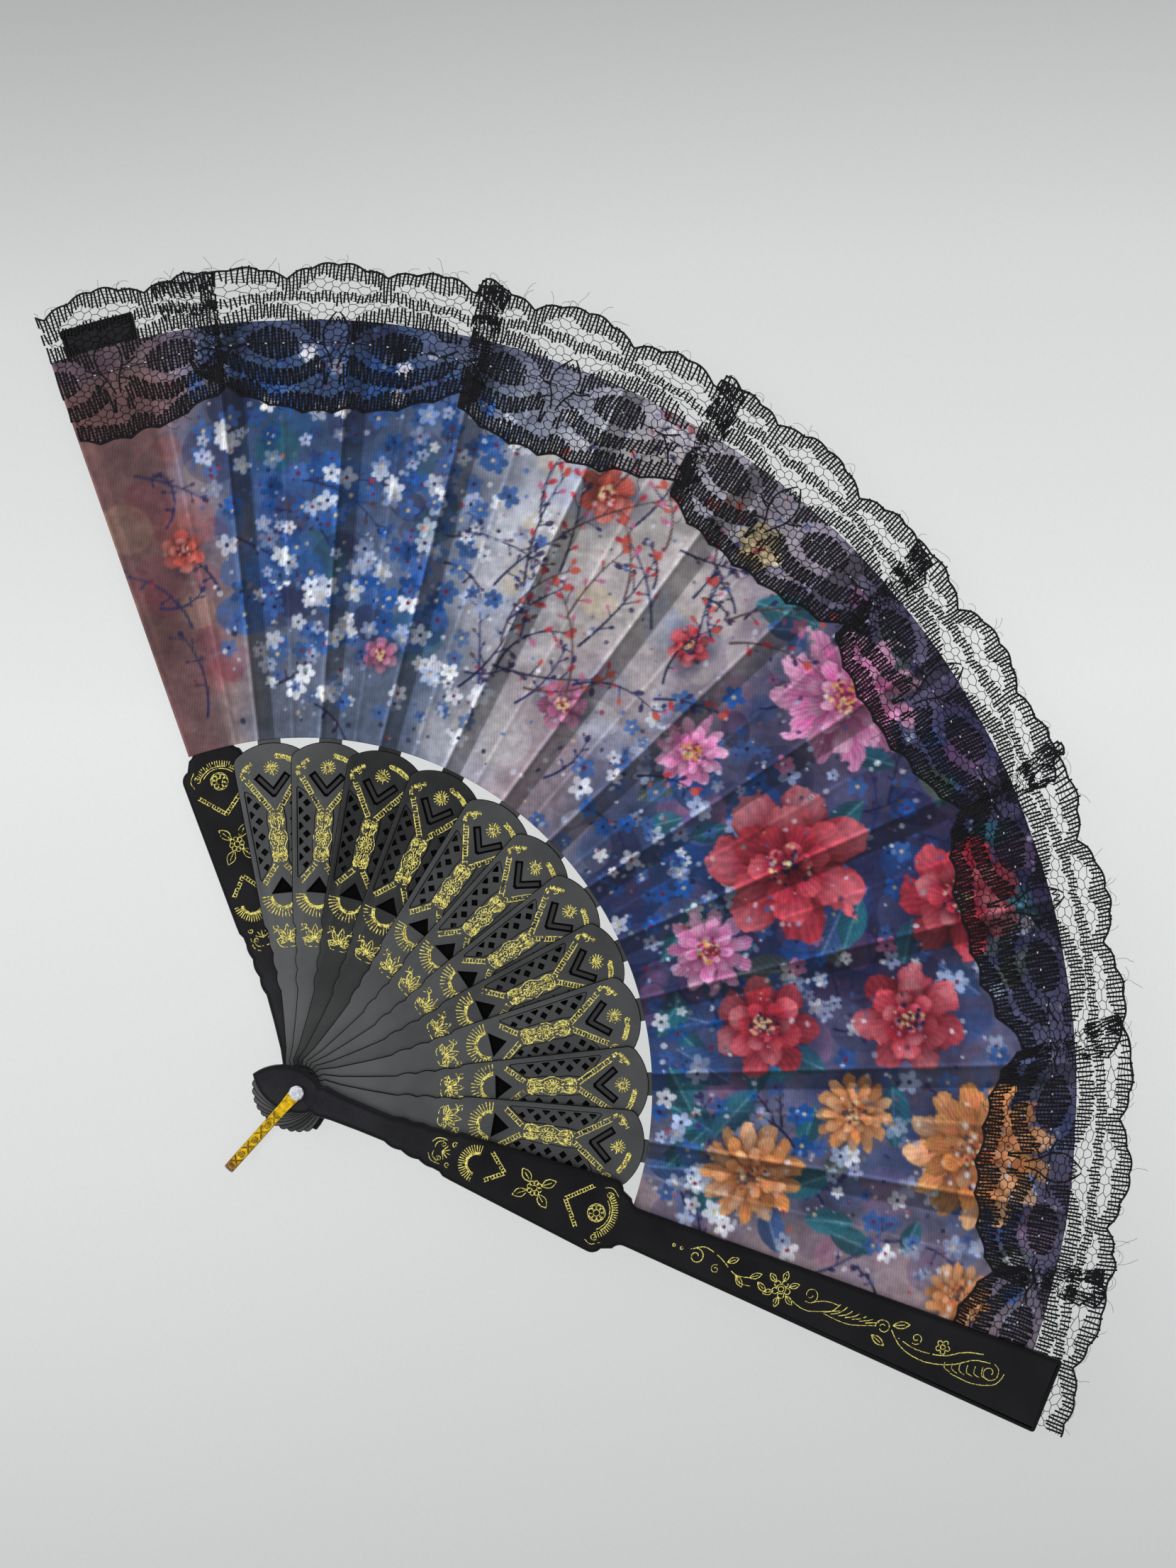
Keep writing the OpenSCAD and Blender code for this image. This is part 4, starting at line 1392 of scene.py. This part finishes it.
def rib_foil():
    lines = sprig(40.6, 2.3)
    lines += both([curve((42.2, 1.2), (43.2, 2.4), (42.4, 3.9)), spiral(44.0, 2.9, 0.9, 60, 1.0)])
    lines += leaf_loop(40.0, 0, 0, 4.6, 1.5)
    lines += both(leaf_loop(40.2, 0.3, 34, 4.0, 1.5) + leaf_loop(39.8, 0.4, 78, 2.9, 1.3))
    lines += half_sun(52.6, 0, 3.7, 19) + both(ladder((55.8, 5.0), (61.0, 1.2), 1.15, 8))
    lines += daisy(68.3, 0, 0.75, 1.95, 14, 1.25)
    lines += both([line for side in (-1, 1) for line in
                   leaf_loop(68.3 + 2.5 * side, 0.35, 90 - 66 * side, 3.0, 1.1)
                   + leaf_loop(68.3 + 4.6 * side, 0.2, 90 - 50 * side, 2.4, 0.9)])
    lines += both([spiral(63.6, 0.85, 0.8, 250, 1.4), spiral(73.2, 0.85, 0.8, 110, -1.4),
                   curve((61.6, 0.2), (62.4, 1.9), (64.6, 1.9), (65.9, 1.0)),
                   curve((75.0, 0.2), (74.2, 1.9), (72.2, 1.9), (70.8, 1.0)),
                   curve((61.6, 0.7), (63.2, 2.0), (65.2, 1.4), (68.3, 2.6), (71.4, 1.4), (73.4, 2.0),
                         (75.2, 0.7))])
    lines += [circle(u, 0, 0.5, 9) for u in (62.6, 74.0)] + both(ladder((75.4, 0.8), (84.4, 7.0), 1.25, 13))
    lines += [circle(87.4, 0, k, 10) for k in (0.35, 0.75, 1.1)] + rays(87.4, 0, 1.1, 2.1, 0, 336, 15)
    # Comb at the left of the head, beaded band at its right
    lines += rays(79.6, 0, 10.4, 11.5, 30, 50, 11) + [arc_line(79.6, 0, 10.9, 29, 51, 7)]
    lines += [arc_line(79.6, 0, k, -37, -7, 12) for k in (10.6, 11.7)]
    lines += [circle(79.6 + x, y, 0.42, 6) for x, y in (polar(11.15, a) for a in np.linspace(-36, -8, 11))]
    lines += [spiral(87.4, 6.8, 0.9, 200, 1.2), curve((84.6, 8.2), (86.0, 8.5), (87.4, 7.8))]
    return lines + leaf_loop(84.4, -8.0, 0, 2.4, 1.0) + leaf_loop(85.0, 7.4, 60, 1.6, 0.8)


def guard_foil():
    lines = sprig(42.0, 2.2)
    lines += both([curve((38.6, 1.6), (40.0, 3.2), (42.6, 3.4)), spiral(44.6, 2.8, 0.8, 60, 1.0)])
    lines += half_sun(51.9, 0.4, 3.1, 21)
    lines += ladder((54.6, 4.9), (59.7, 0.9), 0.9, 8) + ladder((55.2, -3.0), (59.7, 0.9), 0.9, 7)
    lines += rosette(68.6, 0.2, 2.0, 8, 0.4) + leaves_round(68.6, 0.2, 1.9, (38, 142, 218, 322), 4.3, 2.3)
    lines += ladder((83.4, 7.0), (77.3, 0.8), 0.9, 11) + ladder((82.7, -5.3), (77.3, 0.8), 0.9, 10)
    lines += rosette(86.5, 0.3, 2.1, 8, 0.42) + [circle(86.5, 0.3, 2.4, 18)]
    lines += [arc_line(84.2, 0.3, 6.4, -56, 56, 20), arc_line(84.6, 0.3, 5.4, -50, 50, 18)]
    lines += rays(84.2, 0.3, 6.6, 8.0, -52, 52, 21)
    return lines + both([spiral(88.2, 5.9, 1.0, 20, 1.2), curve((86.2, 7.4), (88.2, 8.0), (90.4, 6.6))])


def blade_foil():
    """Scrollwork along the narrow blade of the front guard."""
    lines = [circle(u, 0.2, 0.4, 7) for u in (109, 111.2)]
    lines += [spiral(115.6, -0.4, 2.4, 150, -1.35),
              curve((113.4, 0.6), (117, 2.8), (122, 1.6), (127, -1.0), (131, -0.4)),
              spiral(121.6, -1.7, 1.3, 80, 1.2), curve((127, -1), (129, -2.6), (132, -2.4))]
    for leaf in ((124, 1.2, 40, 3.4), (127.5, -1.2, -42, 3.4), (131, -0.4, 38, 3.6), (133.5, -0.6, -30, 3.4)):
        lines += leaf_loop(*leaf, 1.5)
    lines += rosette(140, 0, 2.5, 5, 0.3) + [circle(140, 0, 1.3, 12)]
    lines += leaves_round(140, 0, 2.2, (35, 90, 145, 215, 270, 325), 2.9, 1.5)
    lines += [spiral(148, 1.6, 2.3, 250, 1.3), curve((143, -1.5), (148, -2.8), (153, -1.2), (157, 0.6)),
              curve((148.5, -0.6), (152, 1.4), (156, 1.8))]
    for k in range(7):
        u = 153 + 1.9 * k
        lines.append(curve((u, -1.4 + 0.25 * k), (u + 2.0, -0.2 + 0.2 * k), (u + 3.4, 2.2 - 0.1 * k), n=8))
    lines += [curve((153, -1.8), (160, -2.0), (167, 0.4)), spiral(169.2, 0.9, 2.2, 200, -1.4)]
    lines += leaf_loop(167, -2.2, -20, 4.4, 1.8) + leaf_loop(171.5, 2.2, 25, 4.6, 1.9)
    lines += [curve((171.5, 1.0), (176, -2.6), (183, -3.6), (190, -1.6), (195, 1.8), (199.5, 2.6)),
              curve((174, -0.4), (180, -1.4), (187, -0.2), (192, 2.8), (197, 4.2)),
              spiral(200.2, 0.2, 2.7, 80, -1.3), spiral(178.6, 1.4, 1.7, 250, 1.25)]
    lines += rosette(186, 1.9, 1.9, 5, 0.34)
    for k in range(6):
        u = 188 + 2.0 * k
        lines.append(curve((u, -1.6 + 0.5 * k), (u + 0.4, -3.0 + 0.35 * k), (u + 2.2, -3.6 + 0.4 * k), n=7))
    return lines + [curve((190.5, -3.9), (197, -4.2), (202.6, -2.2), (204, 1.4))]


def gold(name, base, dark, rough):
    n = Nodes(name)
    glint = n.noise(2600, 2, 0.6)
    middle = tuple(0.6 * b + 0.4 * d for b, d in zip(base, dark))
    # Colour from dark to bright in small patches: partly the patchy foil, partly painted glints and shade of
    # its crinkles
    colour = n.ramp(n.noise(1500, 2), (0.36, dark), (0.47, middle), (0.56, base))
    return n.finish(Base_Color=colour, Roughness=n.range(glint, rough - 0.1, rough + 0.12, 0.3, 0.7),
                    Normal=n.bump(glint, 0.8, 0.00006), Metallic=0.35)


FOIL_T = 0.11


def stamp(name, lines, stick, width, wear, seed, material):
    """Foil lines pressed on a stick's upper face, with the gaps that a hot stamp leaves."""
    rng = np.random.default_rng(seed)
    strips = []
    for line in lines:
        line = finer(line, 0.45)
        keep, start = [], 0
        for k in range(len(line)):
            if rng.random() < wear:
                keep.append(line[start:k])
                start = k + rng.integers(1, 3)
        keep.append(line[start:])
        strips += [part for part in keep if len(part) > 1]
    widths = width * rng.uniform(0.75, 1.25, len(strips))
    laid = []
    for part in strips:
        shake = rng.uniform(-0.05, 0.05, part.shape)
        laid.append(turned(np.c_[part + shake, np.full(len(part), TOP[stick])], ANGLE[stick]))
    points, faces = tubes(laid, widths, FOIL_T)
    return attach(new_piece(name, points, faces, material), BODIES[stick])


def make_foil():
    foil = gold("gold_foil", (1.0, 0.92, 0.26), (0.26, 0.17, 0.025), 0.30)
    for i in range(1, LAST):
        stamp(f"foil_rib_{i:02d}", rib_foil(), i, 0.29, 0.07, 100 + i, foil)
    stamp("foil_front_guard", guard_foil() + blade_foil(), LAST, 0.27, 0.015, 120, foil)
    stamp("foil_rear_guard", guard_foil(), 0, 0.27, 0.04, 121, foil)


# ------------------------------------------------------------------ rivet, stone and bail

def make_stone():
    """Foil-backed stone: girdle, kite and star facets, and a flat table."""
    base, top = low("rhinestone")[2], high("rhinestone")[2]
    radius = high("rhinestone")[0]
    sides = 8
    # Radius, level and share of a side that the ring is turned by
    rings = [(radius, base, 0), (radius, base + 0.3, 0), (radius * 0.84, base + 0.62, 0.5),
             (radius * 0.66, base + 0.92, 0), (radius * 0.5, top, 0.5)]
    points, faces = [], []
    for r, z, shift in rings:
        for k in range(sides):
            points.append((*polar(r, 360 * (k + shift) / sides), z))
    for ring, ((*_, here), (*_, there)) in enumerate(zip(rings, rings[1:])):
        for k in range(sides):
            a, b = ring * sides + k, ring * sides + (k + 1) % sides
            c, d = a + sides, b + sides
            if here == there:
                faces += [(a, b, d, c)]
            elif there > here:
                faces += [(a, b, c), (a, c, (ring + 1) * sides + (k - 1) % sides)]
            else:
                faces += [(a, b, d), (a, d, c)]
    count = len(points)
    faces += [tuple(range(count - sides, count)), tuple(range(sides - 1, -1, -1))]
    n = Nodes("rhinestone_glass")
    # The stone's pale colour and its brighter and greyer spots are painted reflections of its foil and facets
    flash = n.ramp(n.noise(1500, 1), (0.35, (0.60, 0.64, 0.70)), (0.65, (0.98, 0.98, 1.0)))
    glass = n.finish(Base_Color=flash, Roughness=0.04, Metallic=0.15, Coat_Weight=1.0)
    stone = new_piece("cut_stone", points, faces, glass)
    stone.data.polygons.foreach_set("use_smooth", np.zeros(len(faces), bool))
    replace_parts(stone, "rhinestone")
    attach(stone, "rear")


# The bail: its strip, the reach of its bend and of its eyes, and the plain part at each end
BAIL_T, BAIL_W, BAIL_REACH = 0.5, 2.8, 29.4
EYE_END, EYE_BACK, EYE_HOLE = 5.5, 1.8, 1.17
OVERLAP, PLAIN_END, RELIEF = 0.3, 2.4, 0.14
ALONG, ACROSS = 420, 23


def relief_on_bail(along, across):
    """Height of the embossing, 0 to 1: flower clusters and crossed lozenges in turn."""
    period = 5.2
    phase = np.mod(along, period) / period
    x = np.abs(np.mod(phase * 2, 1) - 0.5) * 2
    cross = np.exp(-((np.abs(across) / 1.15 - x) / 0.16) ** 2)
    centre = (phase - 0.25) * period
    flower = np.exp(-(centre ** 2 + across ** 2) / 0.06)
    for u, v in (polar(0.62, 60 * k + 30) for k in range(6)):
        flower = np.maximum(flower, np.exp(-(((centre - u) ** 2 + (across - v) ** 2) / 0.10)))
    ticks = np.exp(-((np.abs(across) - 1.18) / 0.10) ** 2)
    return np.maximum(np.where(phase < 0.5, flower, cross * 0.9), ticks * 0.55)


def bail_material(bottom, top):
    """Gilt brass, painted darker from the upper end to the lower and painted near black on the slopes of its
    relief: painted shade.
    """
    n = Nodes("bail_gold")
    # Painted shade: darker towards the lower end, where the strip bends under the fan
    drop = n.range(n.axes(n.spot())["Z"], 0.0, 1.0, bottom * MM, top * MM)
    tone = n.ramp(drop, (0.0, (0.16, 0.05, 0.003)), (0.62, (0.30, 0.11, 0.004)),
                  (0.88, (0.72, 0.31, 0.005)), (0.985, (1.0, 0.62, 0.006)))
    # Patchy colour: partly worn gilding, partly painted highlights and shade
    wear = n.ramp(n.noise(700, 3), (0.38, (0.45,) * 3), (0.58, (1.0,) * 3))
    colour = n.mix(n.value("relief_shade"), n.mix(1.0, tone, wear, "MULTIPLY"), (0.03, 0.014, 0.002))
    return n.finish(Base_Color=colour, Roughness=n.range(n.noise(900, 3), 0.30, 0.46),
                    Normal=n.bump(n.noise(2500, 2), 0.2, 0.00004), Metallic=0.6)


def make_bail():
    """Embossed strip bent round from the front of the fan to the back, with a plain eye at each end."""
    bottom, top = low("bail")[2], high("bail")[2]
    p = node_points("bail")
    far = np.hypot(p[:, 0], p[:, 1])
    angle = math.degrees(math.atan2(*p[far > far.max() - 0.4].mean(0)[1::-1]))
    radius, middle = (top - bottom) / 2, (top + bottom) / 2
    straight, half_ring = BAIL_REACH - radius - EYE_END + OVERLAP, math.pi * radius
    total = 2 * straight + half_ring
    s = np.linspace(0, total, ALONG)[:, None]
    y = np.linspace(-BAIL_W / 2, BAIL_W / 2, ACROSS)[None, :]
    a = np.clip((s - straight) / half_ring, 0, 1) * math.pi
    x = EYE_END - OVERLAP + np.minimum(s, straight) - np.maximum(s - straight - half_ring, 0)
    crown = 0.06 * (1 - (y / (BAIL_W / 2)) ** 2)
    height = RELIEF * relief_on_bail(s, y)
    height = height * smooth((s - PLAIN_END) / 0.4) * smooth((total - s - PLAIN_END) / 0.4)
    out = radius - 0.10 - 0.08 * (np.abs(y) > BAIL_W / 2 - 0.05) + crown + height
    outer, inner = (np.stack([x + r * np.sin(a), y + 0 * s, middle + r * np.cos(a)], -1)
                    for r in (out, radius - BAIL_T + 0 * y))
    loop = np.concatenate([outer, inner[:, ::-1]], 1)
    rows, columns = loop.shape[:2]
    corner = np.arange(rows - 1)[:, None] * columns
    k = np.arange(columns)
    faces = np.stack([corner + k, corner + columns + k, corner + columns + (k + 1) % columns,
                      corner + (k + 1) % columns], -1).reshape(-1, 4).tolist()
    faces += [tuple(range(columns)), tuple(range(rows * columns - 1, (rows - 1) * columns - 1, -1))]
    gilt = bail_material(bottom, top)
    strip = new_piece("bail_strip", turned(loop.reshape(-1, 3), angle), faces, gilt, sharp=60)
    # Painted shade on the slopes of the embossing
    steep = np.hypot(*np.gradient(height, total / (ALONG - 1), BAIL_W / (ACROSS - 1)))
    relief_shade = np.clip(steep / 0.30 - 0.25, 0, 0.95)
    add_values(strip, "relief_shade", "POINT", np.concatenate([relief_shade, 0 * relief_shade], 1))
    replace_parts(strip, "bail")
    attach(strip, "wrist_bail")
    outline = np.concatenate([arc_line(0, 0, EYE_BACK, 90, 270, 17),
                              [(EYE_END, -BAIL_W / 2), (EYE_END, BAIL_W / 2)]])
    eye = turned(np.c_[outline, np.zeros(len(outline))], angle)[:, :2]
    hole = arc_line(0, 0, EYE_HOLE, 360, 0, 33)[:-1]
    for name, level in (("bail_eye_upper", top - BAIL_T), ("bail_eye_lower", bottom)):
        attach(slab(name, eye, [(hole, level)], level, level + BAIL_T, 0.1, gilt), "wrist_bail")


def finish_cad_nodes():
    """Steel for the CAD nodes that show as they are."""
    n = Nodes("rivet_steel")
    fine = n.noise(900, 3)
    tone = n.ramp(fine, (0.3, (0.55, 0.56, 0.58)), (0.7, (0.80, 0.81, 0.83)))
    steel = n.finish(Base_Color=tone, Roughness=n.range(fine, 0.168, 0.336),
                     Normal=n.bump(fine, 0.2, 0.00003), Metallic=1.0)
    for name in ("rivet", "stone_cup"):
        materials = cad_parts[name].data.materials
        materials.clear()
        materials.append(steel)


# ------------------------------------------------------------------ build

make_camera()
make_floor()
make_light()
make_leaf(paint_leaf_print())
make_lace()
make_sticks()
make_foil()
make_stone()
make_bail()
finish_cad_nodes()
